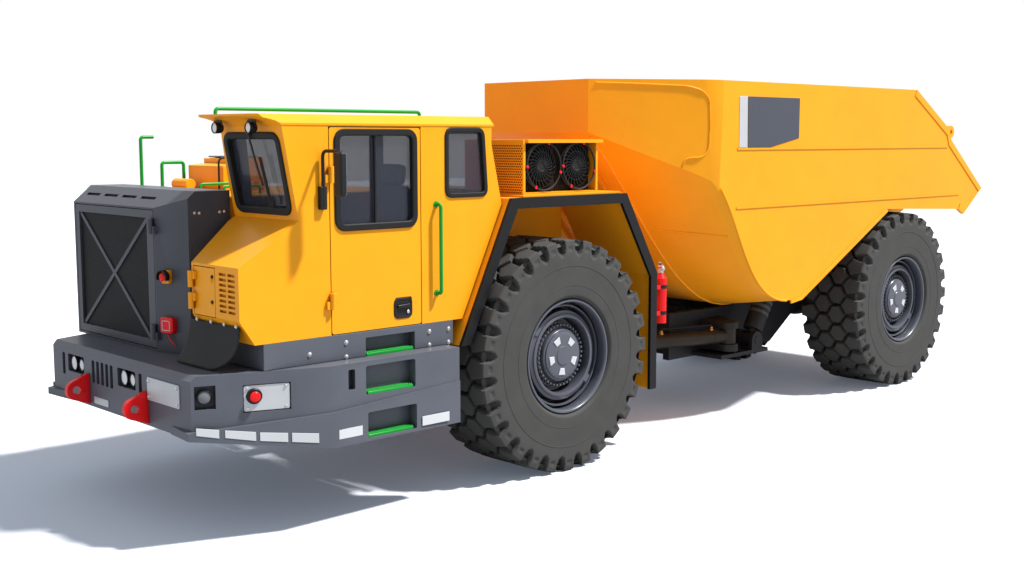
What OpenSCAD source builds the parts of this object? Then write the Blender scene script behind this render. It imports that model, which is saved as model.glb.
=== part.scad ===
/* [Wheels] */
// Distance between the two axles
wheelbase = 5675; // [5400:5:5900]
// Front axle ahead of the steering pivot
front_axle_x = 1960; // [1900:5:2050]
// Outer radius of a tyre over its lugs
tyre_r = 1020; // [990:5:1030]
// Width of a tyre
tyre_w = 770; // [700:5:800]
// Half the width over the tyres
tyre_out_y = 1520; // [1500:5:1560]
// Depth of the shoulder lugs
lug_h = 55; // [30:1:70]
// Lugs round each shoulder of a tyre
lug_count = 28; // [20:1:32]
// Radius of the rim's lip
rim_r = 494; // [460:1:520]
// Radius of the wheel spindle
spindle_r = 150; // [120:1:180]

/* [Front bumper and skirt] */
// Front face of the bumper
bumper_x = 5410; // [5300:5:5500]
// Half the width of the bumper's front face
bumper_half = 1130; // [1050:5:1200]
// Side face of the skirt
skirt_y = 1475; // [1460:1:1500]
// Where the bumper's slanted corner meets the side
corner_x = 4450; // [4350:5:4600]
// Rear end of the side skirt
skirt_rear_x = 3205; // [3190:5:3300]
// Top of the deck
deck_z = 1244; // [1220:1:1270]
// Lowest edge of the bumper's front face
bumper_low_z = 790; // [740:5:850]
// Lowest edge of the side skirt
skirt_low_z = 632; // [600:1:680]
// Thickness of the bumper and skirt walls
skirt_wall = 100; // [60:5:130]
// Thickness of the deck plate
deck_t = 40; // [25:1:60]
// Reach of the towing lugs ahead of the bumper
lug_reach = 190; // [150:5:220]
// Radius of the hole in a towing lug
lug_hole_r = 32; // [20:1:45]
// Reach of the bumper's lower ledge at its corners
ledge_reach = 45; // [20:1:60]
// Half the spacing of the towing lugs
lug_y = 485; // [400:5:560]
// Thickness of a towing lug
lug_t = 50; // [30:1:70]

/* [Cab] */
// Outer side face of the cab
cab_y = 1310; // [1280:5:1340]
// Inner side face of the cab
cab_in_y = 440; // [420:5:480]
// Front face of the cab's nose
nose_x = 5110; // [5060:5:5160]
// Top of the cab's base skirt
cab_low_z = 1440; // [1420:5:1460]
// Underside of the roof
roof_low_z = 3000; // [2980:5:3040]
// Thickness of the roof
roof_t = 80; // [60:5:110]
// Front edge of the visor
visor_x = 4930; // [4880:5:4960]
// Rear face of the cab
cab_rear_x = 2700; // [2680:5:2760]
// Thickness of the cab's walls
cab_wall = 50; // [40:1:60]
// Radius of the hinge pins of the doors and the hatch
hinge_pin_r = 12; // [9:1:15]
// Front edge of the door
door_front_x = 4320; // [4280:5:4360]
// Rear edge of the door
door_rear_x = 3460; // [3420:5:3500]
// Lower edge of the side windows
sill_z = 2230; // [2200:5:2260]
// Gap round the door
door_gap = 8; // [6:1:14]
// Thickness of the window glass
glass_t = 12; // [8:1:16]

/* [Radiator housing and hood] */
// Front face of the radiator housing
radiator_x = 5060; // [5020:5:5090]
// Right side face of the housing and the hood
housing_right_y = -1400; // [-1430:5:-1370]
// Left side face of the housing
housing_left_y = 370; // [350:5:380]
// Left end of the housing's front face
housing_front_y = 10; // [-20:5:40]
// Top of the housing
housing_z = 2505; // [2480:5:2530]
// Top of the radiator door
radiator_door_z = 2350; // [2330:5:2365]
// Thickness of the housing's walls
housing_wall = 45; // [35:1:60]
// Thickness of the radiator door
radiator_door_t = 40; // [30:1:50]
// Top of the engine hood
hood_z = 2450; // [2430:5:2470]

/* [Fenders and fan box] */
// Top of the fenders
fender_z = 2410; // [2390:5:2430]
// Thickness of the fender sheet with its frame
fender_t = 60; // [40:1:70]
// Width of the dark flare round the arch
flare_w = 90; // [70:5:100]
// Outer face of the flare
flare_y = 1400; // [1385:5:1410]
// Front end of the fan box
fan_box_front_x = 2335; // [2310:5:2380]
// Rear end of the fan box
fan_box_rear_x = 1410; // [1390:5:1450]
// Top of the fan box
fan_box_z = 2890; // [2860:5:2930]
// Inner side of the fan box
fan_box_in_y = 560; // [520:5:620]
// Radius of a fan's blades
fan_r = 195; // [170:5:200]

/* [Dump body] */
// Front wall of the dump body
bed_front_x = 920; // [880:5:940]
// Half the width of the front wall
bed_front_half = 730; // [710:5:750]
// Side face of the dump body
bed_y = 1450; // [1430:5:1460]
// Top of the dump body
bed_top_z = 3465; // [3420:5:3500]
// Lower edge of the front wall
bed_lip_z = 2960; // [2920:5:3000]
// Thickness of the body's plates with their ribs
bed_wall = 40; // [30:1:50]
// Underside of the body over the wheels
bed_wing_z = 2095; // [2085:5:2120]
// Bottom of the scoop behind the front wall
scoop_z = 1114; // [1100:2:1130]
// Deepest place of the scoop ahead of the rear axle
scoop_ahead = 2249; // [2200:1:2300]
// Tip of the tail behind the rear axle
tail_back = 1935; // [1885:5:1985]
// Height of the tip of the tail
tail_z = 2270; // [2240:5:2300]

/* [Frames and cylinders] */
// Radius of the steering pivot pin
pivot_r = 90; // [70:1:110]
// Hinge of the dump body behind the rear axle
bed_hinge_back = 1215; // [1185:5:1235]
// Rear hinge of the dump body, height
bed_hinge_z = 1720; // [1700:5:1740]
// Radius of the dump body's hinge pins
bed_pin_r = 60; // [45:1:70]
// Rear pin of a steering cylinder ahead of a hoist's foot
steer_pin_ahead = 440; // [420:5:460]
// Rear pin of a steering cylinder from the middle
steer_rear_y = 900; // [880:5:920]
// Front pin of a steering cylinder ahead of the pivot
steer_front_x = 400; // [380:5:420]
// Front pin of a steering cylinder from the middle
steer_front_y = 460; // [440:5:480]
// Height of the steering cylinders
steer_z = 800; // [780:5:820]
// Radius of a steering cylinder's barrel
steer_r = 75; // [60:1:85]
// Foot of a hoist cylinder ahead of the rear axle
hoist_foot_ahead = 2155; // [2135:5:2175]
// Foot of a hoist cylinder, height
hoist_low_z = 710; // [700:5:730]
// Head of a hoist cylinder ahead of the rear axle
hoist_head_ahead = 1415; // [1395:5:1435]
// Head of a hoist cylinder, height
hoist_high_z = 1960; // [1940:5:1965]
// Middle of a hoist cylinder across the truck
hoist_y = 860; // [850:2:870]
// Radius of a hoist cylinder's barrel
hoist_r = 105; // [95:1:110]
// Radial clearance of the pins and rods
fit = 0.05; // [0.02:0.01:0.1]
// Gap between pieces that lie against each other
seat = 0.3; // [0.2:0.1:0.5]

/* [Hidden] */
$fn = 48;

yellow = "#f6b01e";
slate = "#53565f";
dark = "#2a2b30";
rubber = "#3d3d3c";
green = "#12b03a";
red = "#e0181c";
silver = "#b9bcc0";
glass = "#28303a";

rear_axle_x = front_axle_x - wheelbase;
tail_x = rear_axle_x - tail_back;
bed_hinge_x = rear_axle_x - bed_hinge_back;
hoist_low_x = rear_axle_x + hoist_foot_ahead;
hoist_high_x = rear_axle_x + hoist_head_ahead;
steer_rear_x = hoist_low_x + steer_pin_ahead;
scoop_x = rear_axle_x + scoop_ahead;
steer_rear = [steer_rear_x, steer_rear_y];
steer_front = [steer_front_x, steer_front_y];
hoist_low = [hoist_low_x, hoist_low_z];
hoist_high = [hoist_high_x, hoist_high_z];
axle_z = tyre_r;
tyre_mid_y = tyre_out_y - tyre_w / 2;
tyre_in_y = tyre_out_y - tyre_w;

// Draws an outline in the truck's side view and carries it across from y0 to y1
module side_view(y0, y1) {
    translate([0, y1, 0]) rotate([90, 0, 0]) linear_extrude(y1 - y0) children();
}

// Draws an outline in the truck's front view and carries it along from x0 to x1
module front_view(x0, x1) {
    translate([x0, 0, 0]) rotate([90, 0, 90]) linear_extrude(x1 - x0) children();
}

// Where a line from p meets a circle round c without crossing it, on the side given by s
function tangent(p, c, r, s) = let (d = c - p, l = norm(d), a = atan2(d.y, d.x) + s * asin(r / l))
    p + sqrt(l * l - r * r) * [cos(a), sin(a)];

function lerp(a, b, t) = a + (b - a) * t;

// Outline of a rectangle with round corners
module rounded(low, high, r) {
    translate(low + [r, r]) {
        translate([-r, 0]) square([high.x - low.x, high.y - low.y - 2 * r]);
        translate([0, -r]) square([high.x - low.x - 2 * r, high.y - low.y]);
        for (x = [0, high.x - low.x - 2 * r], y = [0, high.y - low.y - 2 * r])
            translate([x, y]) circle(r = r, $fn = 24);
    }
}

// Draws a shape on both sides of the truck
module both_sides() {
    children();
    mirror([0, 1, 0]) children();
}

module box(low, high) {
    translate(low) cube(high - low);
}

// A bar that lies across the truck
module cross_bar(r, x, y0, y1, z) {
    translate([x, y1, z]) rotate([90, 0, 0]) cylinder(r = r, h = y1 - y0);
}

// Wheels: a carcass of revolution with a ring of lugs at each shoulder

function lug_ring(r_top, r_root, turn) = [
    for (i = [0 : lug_count - 1], k = [0 : 3])
        let (pitch = 360 / lug_count, a = pitch * (i + [0, 0.12, 0.58, 0.7][k]) + turn)
        (k == 1 || k == 2 ? r_top : r_root) * [cos(a), sin(a)]
];

module tyre_shape() {
    crown_r = tyre_r - lug_h;
    bead_r = rim_r - 14;
    half = tyre_w / 2;
    shoulder_w = tyre_w * 0.3;
    rotate_extrude($fn = 56) polygon([
        [bead_r, -half + 70], [rim_r + 60, -half + 14], [crown_r * 0.8, -half + 4], [crown_r - 20, -half + 30],
        [crown_r, -half + 60], [crown_r, half - 60], [crown_r - 20, half - 30], [crown_r * 0.8, half - 4],
        [rim_r + 60, half - 14], [bead_r, half - 70]]);
    for (s = [-1, 1])
        translate([0, 0, s * (half - shoulder_w / 2) - shoulder_w / 2])
            linear_extrude(shoulder_w) difference() {
                polygon(lug_ring(tyre_r, crown_r - 5, s * 90 / lug_count));
                circle(r = crown_r - 60, $fn = 56);
            }
}

module rim_shape() {
    half = tyre_w / 2;
    barrel_r = rim_r - 14 - seat;
    difference() {
        rotate_extrude($fn = 72) polygon([
            [0, -half + 190], [barrel_r, -half + 110], [barrel_r, half - 70 - seat], [rim_r + 4, half - 48],
            [rim_r + 4, half - 22], [rim_r - 18, half - 22], [rim_r - 40, half - 60], [rim_r - 60, half - 160],
            [365, half - 170], [350, half - 120], [320, half - 120], [310, half - 160], [285, half - 175],
            [270, half - 110], [215, half - 95], [200, half - 60], [160, half - 45], [0, half - 45]]);
        translate([0, 0, -half]) cylinder(r = spindle_r + fit, h = half + 40);
    }
}

module wheel_at(x, side) {
    translate([x, side * tyre_mid_y, axle_z]) rotate([-90 * side, 0, 0]) children();
}

module tyre_front_left() { color(rubber) wheel_at(front_axle_x, 1) tyre_shape(); }
module tyre_front_right() { color(rubber) wheel_at(front_axle_x, -1) tyre_shape(); }
module tyre_rear_left() { color(rubber) wheel_at(rear_axle_x, 1) tyre_shape(); }
module tyre_rear_right() { color(rubber) wheel_at(rear_axle_x, -1) tyre_shape(); }
module rim_front_left() { color(slate) wheel_at(front_axle_x, 1) rim_shape(); }
module rim_front_right() { color(slate) wheel_at(front_axle_x, -1) rim_shape(); }
module rim_rear_left() { color(slate) wheel_at(rear_axle_x, 1) rim_shape(); }
module rim_rear_right() { color(slate) wheel_at(rear_axle_x, -1) rim_shape(); }

// Axles: a housing with a differential bowl, pads for the frame and a spindle at each end

axle_tube_r = 190;
pad_z = axle_z + axle_tube_r + 25;
frame_in_y = 480;
frame_t = 80;

module axle_at(x) {
    translate([x, 0, axle_z]) {
        rotate([90, 0, 0]) cylinder(r = axle_tube_r, h = 2 * tyre_in_y - 60, center = true);
        sphere(r = 330);
        rotate([90, 0, 0]) cylinder(r = spindle_r, h = 2 * tyre_mid_y + 60, center = true);
    }
    both_sides() box([x - 170, frame_in_y, axle_z], [x + 170, frame_in_y + frame_t, pad_z]);
}

module front_axle() { color(dark) axle_at(front_axle_x); }
module rear_axle() { color(dark) axle_at(rear_axle_x); }

// Front chassis: two deep plates over the axle, cross members and the fork of the steering pivot

fork_t = 70;
fork_low_z = 550;
fork_high_z = 1030;
chassis_rear_x = 640;
chassis_top_z = 1500;

module chassis_plate() {
    polygon([[chassis_rear_x, fork_low_z], [chassis_rear_x + 180, fork_low_z], [front_axle_x - 620, pad_z],
        [front_axle_x + 560, pad_z], [front_axle_x + 1000, 820], [bumper_x - skirt_wall, 840],
        [bumper_x - skirt_wall, deck_z - deck_t], [front_axle_x + 960, deck_z - deck_t],
        [front_axle_x + 640, chassis_top_z], [front_axle_x - 760, chassis_top_z],
        [chassis_rear_x, fork_high_z + fork_t]]);
}

module fork_plate(z) {
    translate([0, 0, z]) linear_extrude(fork_t) difference() {
        union() {
            circle(r = 240);
            polygon([[-60, -230], [-60, 230], [250, frame_in_y + frame_t], [chassis_rear_x + 100, frame_in_y + frame_t],
                [chassis_rear_x + 100, -frame_in_y - frame_t], [250, -frame_in_y - frame_t]]);
        }
        circle(r = pivot_r + fit);
    }
}

module front_chassis() {
    color(dark) {
        both_sides() side_view(frame_in_y, frame_in_y + frame_t) chassis_plate();
        fork_plate(fork_low_z);
        fork_plate(fork_high_z);
        box([chassis_rear_x, -frame_in_y, fork_low_z], [chassis_rear_x + 80, frame_in_y, fork_high_z + fork_t]);
        for (x = [front_axle_x - 700, front_axle_x + 520, front_axle_x + 1300])
            box([x, -frame_in_y, deck_z - 200], [x + 90, frame_in_y, deck_z - deck_t]);
        box([front_axle_x + 2300, -frame_in_y, deck_z - 250], [front_axle_x + 2400, frame_in_y, deck_z - deck_t]);
        both_sides() for (z = [[fork_low_z + fork_t, steer_z - 65], [steer_z + 65, fork_high_z]])
            translate([steer_front.x, steer_front.y, z[0]]) cylinder(r = 70, h = z[1] - z[0]);
    }
}

// Bumper and side skirts: one wall round the deck, with lamp recesses, slots and step pockets

step_front_x = 4136;
step_rear_x = 3659;
step_depth = 85;
lamp_half_w = 145;
lamp_y = [-705, 165];
lamp_low_z = 1024;
lamp_high_z = 1165;
recess = 60;
slot_w = 48;
slot_pitch = 78;
ledge_z = [845, 900, 975];
ledge_root_y = 830;
corner_angle = atan2(skirt_y - bumper_half, bumper_x - corner_x);
upper_step_z = [986, 1206];
lower_step_z = [655, 854];

module bumper_plan(inset) {
    polygon([[skirt_rear_x, skirt_y - inset], [corner_x - inset * 0.18, skirt_y - inset],
        [bumper_x - inset, bumper_half - inset * 0.7], [bumper_x - inset, -bumper_half + inset * 0.7],
        [corner_x - inset * 0.18, -skirt_y + inset], [skirt_rear_x, -skirt_y + inset]]);
}

module bumper_profile() {
    polygon([[skirt_rear_x - 1, skirt_low_z], [corner_x, skirt_low_z], [bumper_x + 1, bumper_low_z],
        [bumper_x + 1, deck_z - deck_t], [bumper_x - deck_t, deck_z],
        [skirt_rear_x - 1, deck_z]]);
}

// Draws at a distance along the bumper's slanted corner: first axis back along it, second axis out of it
module on_corner(d) {
    translate([bumper_x, bumper_half, 0]) rotate([0, 0, 180 - corner_angle]) translate([d, 0, 0]) mirror([0, 1, 0])
        children();
}

module step_pocket(z) {
    side_view(skirt_y - step_depth, skirt_y + 2 * ledge_reach) rounded([step_rear_x, z[0]], [step_front_x, z[1]], 18);
}

module bumper_ledge() {
    intersection() {
        linear_extrude(deck_z) polygon([[bumper_x - skirt_wall, ledge_root_y], [bumper_x, ledge_root_y],
            [bumper_x + ledge_reach, bumper_half + ledge_reach * 0.7], [corner_x, skirt_y + ledge_reach * 0.5],
            [skirt_rear_x, skirt_y + ledge_reach * 0.2], [skirt_rear_x, skirt_y - skirt_wall / 2],
            [corner_x, skirt_y - skirt_wall / 2], [bumper_x - skirt_wall / 2, bumper_half - skirt_wall / 2]]);
        side_view(0, tyre_out_y) polygon([[skirt_rear_x, skirt_low_z], [corner_x, skirt_low_z],
            [bumper_x + ledge_reach, bumper_low_z], [bumper_x + ledge_reach, ledge_z[0]], [corner_x, ledge_z[1]],
            [skirt_rear_x, ledge_z[2]]]);
    }
}

module bumper() {
    color(slate) difference() {
        union() {
            intersection() {
                linear_extrude(deck_z) bumper_plan(0);
                side_view(-skirt_y, skirt_y) bumper_profile();
            }
            both_sides() bumper_ledge();
        }
        linear_extrude(deck_z - deck_t) difference() {
            bumper_plan(skirt_wall);
            translate([skirt_rear_x - 1, -skirt_y]) square([1, 2 * skirt_y]);
        }
        both_sides() {
            step_pocket(upper_step_z);
            step_pocket(lower_step_z);
            side_view(skirt_y - recess, skirt_y + 1) rounded([4237, 1044], [4299, 1197], 14);
            on_corner(25) translate([0, -recess, lamp_low_z - 24]) cube([150, 2 * recess, 170]);
            on_corner(367) translate([0, -15, 954]) cube([349, 30, 201]);
        }
        for (y = lamp_y) front_view(bumper_x - recess, bumper_x + 1)
            rounded([y - lamp_half_w, lamp_low_z], [y + lamp_half_w, lamp_high_z], 14);
        for (y = [-955, for (i = [0 : 4]) -420 + i * slot_pitch, 362]) front_view(bumper_x - recess, bumper_x + 1)
            rounded([y, 985], [y + slot_w, lamp_high_z], 12);
    }
}

lug_z = 928;
lug_hole_x = bumper_x + 110;

module tow_lugs() {
    hole = [lug_hole_x, lug_z];
    nose_r = bumper_x + lug_reach - lug_hole_x;
    foot = [bumper_x, lug_z - 122];
    brow = [bumper_x + 25, lug_z + 122];
    color(red) both_sides() difference() {
        side_view(lug_y - lug_t / 2, lug_y + lug_t / 2) {
            polygon([foot, [bumper_x, brow.y], brow, tangent(brow, hole, nose_r, 1), hole,
                tangent(foot, hole, nose_r, -1)]);
            translate(hole) circle(r = nose_r);
        }
        cross_bar(lug_hole_r, lug_hole_x, lug_y - lug_t, lug_y + lug_t, lug_z);
    }
}

// Cab: base skirt, hollow shell with nose, roof, glass, door and hatch

cab_base_front_x = 4920;
arch_front = [3118, 1230];
arch_top_front = 2553;
arch_gap = 10;

// Front edge of the wheel arch at a height
function arch_x(z) = arch_front.x + (arch_top_front - arch_front.x) * (z - arch_front.y) / (fender_z - arch_front.y);

cab_base_rear_x = arch_front.x + arch_gap;
cab_hip_z = 2360;
cab_back_z = max(roof_low_z - 150, cab_hip_z + 60);
nose_low_z = 1620;
nose_top_z = 2000;
nose_in_y = 660;
screen_low = [4600, 2310];
screen_high = [4730, roof_low_z];
door_low_z = cab_low_z + 5;
door_high_z = roof_low_z - 15;
window_top_z = roof_low_z - 40;
pane_inset = 15;
screen_low_z = screen_low.y + 50;
screen_high_z = roof_low_z - 65;
screen_y = [cab_in_y + 75, cab_y - 70];
back_window_z = [2480, roof_low_z - 60];
back_window_y = [cab_in_y + 120, cab_y - 120];
hatch_y = [nose_in_y + 30, nose_in_y + 325];
hatch_z = [nose_low_z, nose_top_z - 25];
hatch_gap = 6;

module cab_base() {
    color(slate) difference() {
        box([cab_base_rear_x, cab_in_y, deck_z], [cab_base_front_x, cab_y, cab_low_z]);
        box([cab_base_rear_x - 1, cab_in_y + 80, deck_z - 1], [cab_base_front_x - 80, cab_y - 100, cab_low_z - 40]);
        box([3530, cab_y - step_depth, deck_z - 1], [4009, cab_y + 1, 1385]);
    }
}

function cab_outline(inset) = [
    [arch_x(cab_low_z) + arch_gap + inset, cab_low_z + inset], [4990 - inset, cab_low_z + inset],
    [nose_x - inset, nose_low_z + inset * 0.4], [nose_x - inset, nose_top_z - inset * 0.8],
    [screen_low.x - inset * 0.8, screen_low.y - inset * 0.3], [screen_high.x - inset, screen_high.y - inset],
    [cab_rear_x + inset, roof_low_z - inset], [cab_rear_x + inset, cab_back_z],
    [arch_x(cab_hip_z) + arch_gap + inset, cab_hip_z + inset * 0.3]
];

hinge_r = hinge_pin_r + 10;
hinge_leaf_t = 12;
hinge_h = 60;

// The fixed half of an upright hinge: a knuckle with its pin, on a leaf that reaches back along dir
module hinge_fixed(axis, z, dir, leaf) {
    translate([axis.x, axis.y, z]) {
        translate([0, 0, -hinge_h]) cylinder(r = hinge_r, h = hinge_h - seat);
        cylinder(r = hinge_pin_r, h = hinge_h);
        translate([0, 0, -hinge_h]) linear_extrude(hinge_h - seat) hinge_leaf(dir, leaf);
    }
}

// The moving half: a knuckle that turns on the pin
module hinge_moving(axis, z, dir, leaf) {
    translate([axis.x, axis.y, z]) difference() {
        union() {
            cylinder(r = hinge_r, h = hinge_h);
            linear_extrude(hinge_h) hinge_leaf(dir, leaf);
        }
        translate([0, 0, -1]) cylinder(r = hinge_pin_r + fit, h = hinge_h + 2);
    }
}

// Plan of a leaf: from the knuckle along dir, and down to the sheet that it is welded to
module hinge_leaf(dir, leaf) {
    n = leaf / norm(leaf);
    foot = leaf + n * weld;
    polygon([[0, 0], dir * hinge_reach, dir * hinge_reach + foot, dir * hinge_r + foot,
        dir * hinge_r + leaf - n * hinge_leaf_t]);
}

hinge_reach = 50;
weld = 3;
hinge_stand = hinge_r + 2;
door_hinge = [door_front_x + door_gap / 2, cab_y + hinge_stand];
door_hinge_z = [1700, 2640];
radiator_hinge = [radiator_x + hinge_stand, housing_front_y - 12];
radiator_hinge_z = [1400, 2230];
hatch_hinge = [nose_x + hinge_stand, hatch_y[0] - hatch_gap / 2];
hatch_hinge_z = [1720, 1880];

module door_opening(gap) {
    side_view(cab_y - cab_wall - 1, cab_y + 1) polygon([
        [door_rear_x - gap, door_low_z - gap], [door_front_x + gap, door_low_z - gap],
        [door_front_x + gap, door_high_z + gap], [door_rear_x - gap, door_high_z + gap]]);
}

module cab_plan() {
    polygon([[2500, cab_in_y], [screen_low.x + 60, cab_in_y], [nose_x, nose_in_y], [nose_x, cab_y], [2500, cab_y]]);
}

rear_window_x = [cab_rear_x + 60, door_rear_x - 270];
rear_window = [[rear_window_x[0], 2445], [rear_window_x[1], 2445], [rear_window_x[1], roof_low_z - 25],
    [rear_window_x[0] + 40, roof_low_z - 25]];
far_window = [[3300, sill_z + 10], [4450, sill_z + 10], [4520, roof_low_z - 50], [3300, roof_low_z - 50]];

module cab_shell() {
    color(yellow) {
        cab_panels();
        for (z = door_hinge_z) hinge_fixed(door_hinge, z, [1, 0], [0, -hinge_stand]);
        for (z = hatch_hinge_z) hinge_fixed(hatch_hinge, z, [0, -1] * 0.5, [-hinge_stand, 0]);
    }
}

module cab_panels() {
    difference() {
        intersection() {
            side_view(cab_in_y, cab_y) polygon(cab_outline(0));
            linear_extrude(4000) cab_plan();
        }
        intersection() {
            side_view(cab_in_y + cab_wall, cab_y - cab_wall) polygon(cab_outline(cab_wall));
            linear_extrude(4000) offset(delta = -cab_wall) cab_plan();
        }
        door_opening(door_gap);
        side_view(cab_in_y - 1, cab_y + 1) polygon(rear_window);
        side_view(cab_in_y - 1, cab_in_y + cab_wall + 1) polygon(far_window);
        front_view(door_front_x, nose_x) rounded([screen_y[0], screen_low_z], [screen_y[1], screen_high_z], 70);
        box([cab_rear_x - 200, back_window_y[0], back_window_z[0]],
            [cab_rear_x + 200, back_window_y[1], back_window_z[1]]);
        box([nose_x - cab_wall - 1, hatch_y[0] - hatch_gap, hatch_z[0] - hatch_gap],
            [nose_x + 1, hatch_y[1] + hatch_gap, hatch_z[1] + hatch_gap]);
        nose_louvres();
    }
}

louvre = [95, 20];
louvre_pitch = [118, 38];

// Slots in two columns beside the nose hatch
module nose_louvres() {
    for (i = [0 : 7], c = [0, 1])
        front_view(nose_x - 20, nose_x + 1)
            translate([hatch_y[1] + 60 + c * louvre_pitch.x, hatch_z[0] + 45 + i * louvre_pitch.y]) square(louvre);
}

visor_t = 16;
roof_band = 60;

// Underside of the visor ahead of the windscreen
function visor_z(x) = roof_low_z + (roof_t - visor_t) * pow((x - screen_high.x) / (visor_x - screen_high.x), 0.45);

module cab_roof() {
    top_z = roof_low_z + roof_t;
    color(yellow) intersection() {
        side_view(cab_in_y - 10, cab_y + 10) polygon(concat([[cab_rear_x - 20, roof_low_z], [cab_rear_x - 20, top_z],
            [visor_x, top_z]], [for (i = [6 : -1 : 0]) let (x = lerp(screen_high.x, visor_x, i / 6)) [x, visor_z(x)]]));
        front_view(cab_rear_x - 20, visor_x) polygon([[cab_in_y - 10, roof_low_z], [cab_y + 5, roof_low_z],
            [cab_y + 5, roof_low_z + visor_t], [cab_y - roof_band, top_z], [cab_in_y + roof_band, top_z],
            [cab_in_y - 10, roof_low_z + visor_t]]);
        linear_extrude(top_z) polygon([[cab_rear_x - 20, cab_in_y - 10], [visor_x - 80, cab_in_y - 10], [visor_x, cab_in_y + 70],
            [visor_x, cab_y - roof_band - 70], [visor_x - 70, cab_y - 30], [screen_high.x, cab_y + 5],
            [cab_rear_x - 20, cab_y + 5]]);
    }
}

// A flat pane that leans with the windscreen
module screen_pane(t, margin) {
    run = screen_high.x - screen_low.x;
    rise = screen_high.y - screen_low.y;
    slope = run / rise;
    x_at = function (z) screen_low.x + (z - screen_low.y) * slope;
    low = screen_low_z;
    high = screen_high_z;
    intersection() {
        side_view(screen_y[0], screen_y[1]) polygon([for (p = [[low, t], [low, 0], [high, 0], [high, t]])
            [x_at(p[0]) - 2 * pane_inset - p[1], p[0]]]);
        front_view(door_front_x, nose_x) rounded([screen_y[0] + margin, low + margin], [screen_y[1] - margin, high - margin], 70);
    }
}

// Rear face of the cab at a height
function back_x(z) = let (low = arch_x(cab_hip_z) + arch_gap)
    low + (cab_rear_x - low) * min(1, (z - cab_hip_z) / (cab_back_z - cab_hip_z));

module cab_glass() {
    color(glass) {
        screen_pane(glass_t, seat);
        for (y = [cab_in_y + pane_inset, cab_y - pane_inset - glass_t])
            side_view(y, y + glass_t) offset(delta = -seat) polygon(rear_window);
        side_view(cab_in_y + pane_inset, cab_in_y + pane_inset + glass_t) offset(delta = -seat) polygon(far_window);
        side_view(back_window_y[0] + seat, back_window_y[1] - seat) polygon(concat(
            [for (z = [back_window_z[0] + seat, cab_back_z, back_window_z[1] - seat]) [back_x(z) + pane_inset, z]],
            [for (z = [back_window_z[1] - seat, cab_back_z, back_window_z[0] + seat]) [back_x(z) + pane_inset + glass_t, z]]));
    }
}

module operator_seat() {
    seat_y = (cab_y + cab_in_y) / 2;
    floor_z = cab_low_z + cab_wall;
    cushion_z = floor_z + 290;
    shoulder_z = roof_low_z - 480;
    head_z = shoulder_z + 180;
    back_x = door_rear_x - 20;
    front_x = back_x + 520;
    color(dark) {
        box([back_x + 60, seat_y - 150, floor_z], [front_x - 60, seat_y + 150, cushion_z]);
        front_view(back_x - 10, front_x) rounded([seat_y - 240, cushion_z], [seat_y + 240, cushion_z + 130], 40);
        side_view(seat_y - 230, seat_y + 230) polygon([[back_x, cushion_z + 130], [back_x + 120, cushion_z + 130],
            [back_x + 40, shoulder_z], [back_x - 80, shoulder_z]]);
        box([back_x - 100, seat_y - 130, shoulder_z], [back_x, seat_y + 130, head_z]);
    }
}

module nose_hatch() {
    color(yellow) {
        box([nose_x - cab_wall, hatch_y[0], hatch_z[0]], [nose_x, hatch_y[1], hatch_z[1]]);
        for (z = hatch_hinge_z) hinge_moving(hatch_hinge, z, [0, 1], [-hinge_stand, 0]);
        for (z = hatch_hinge_z) translate([nose_x - 1, hatch_y[1] - 45, z]) rotate([0, 90, 0]) cylinder(r = 14, h = 8);
    }
}

// Rubber flap under the nose, hung on its lower edge
module nose_flap() {
    flap_t = 14;
    x = nose_x - 30;
    color(dark) front_view(x, x + flap_t) difference() {
        polygon([[nose_in_y - 60, deck_z + seat], [cab_y - 150, deck_z + seat], [cab_y - 40, deck_z + 110],
            [cab_y - 30, nose_low_z - 45], [nose_in_y, nose_low_z - 45]]);
    }
}

window_x = [door_rear_x + 48, door_front_x - 55];
window_r = 75;
handle_recess = [door_rear_x + 95, 1520];

module cab_door() {
    color(yellow) {
        difference() {
            side_view(cab_y - cab_wall, cab_y) rounded([door_rear_x, door_low_z], [door_front_x, door_high_z], 20);
            side_view(cab_y - cab_wall - 1, cab_y + 1) rounded([window_x[0], sill_z], [window_x[1], window_top_z], window_r);
            side_view(cab_y - 25, cab_y + 1) rounded(handle_recess, handle_recess + [165, 150], 15);
        }
        for (z = door_hinge_z) hinge_moving(door_hinge, z, [-1, 0], [0, -hinge_stand]);
    }
}

module door_glass() {
    y = cab_y - 2 * pane_inset;
    color(glass) side_view(y - glass_t / 2, y + glass_t / 2)
        rounded([window_x[0] + seat, sill_z + seat], [window_x[1] - seat, window_top_z - seat], window_r);
}

module side_mirror() {
    color(dark) {
        box([4370, cab_y, 2380], [4430, cab_y + 45, 2560]);
        translate([4400, cab_y + 30, 2560]) cylinder(r = 14, h = 260);
        box([4386, cab_y + 30, 2800], [4414, cab_y + 230, 2828]);
        box([4365, cab_y + 190, 2480], [4425, cab_y + 285, 2815]);
    }
}

// Radiator housing, its door and core, the hood behind it with its boxes, and the engine

housing_corner_x = 4965;
housing_slope_x = 4900;
housing_rear_x = 4600;

module housing_plan(inset) {
    polygon([[housing_rear_x, housing_right_y + inset], [radiator_x - inset, housing_right_y + inset],
        [radiator_x - inset, housing_front_y - inset * 0.2], [housing_corner_x - inset, housing_left_y - inset],
        [housing_rear_x, housing_left_y - inset]]);
}

door_right_y = housing_right_y + 35;
door_left_y = housing_front_y - 15;
door_bottom_z = deck_z + 25;

module radiator_housing() {
    color(slate) {
        housing_panels();
        for (z = radiator_hinge_z)
            hinge_fixed(radiator_hinge, z, [0, 1], [-hinge_stand - housing_wall / 2, 0]);
    }
}

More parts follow.
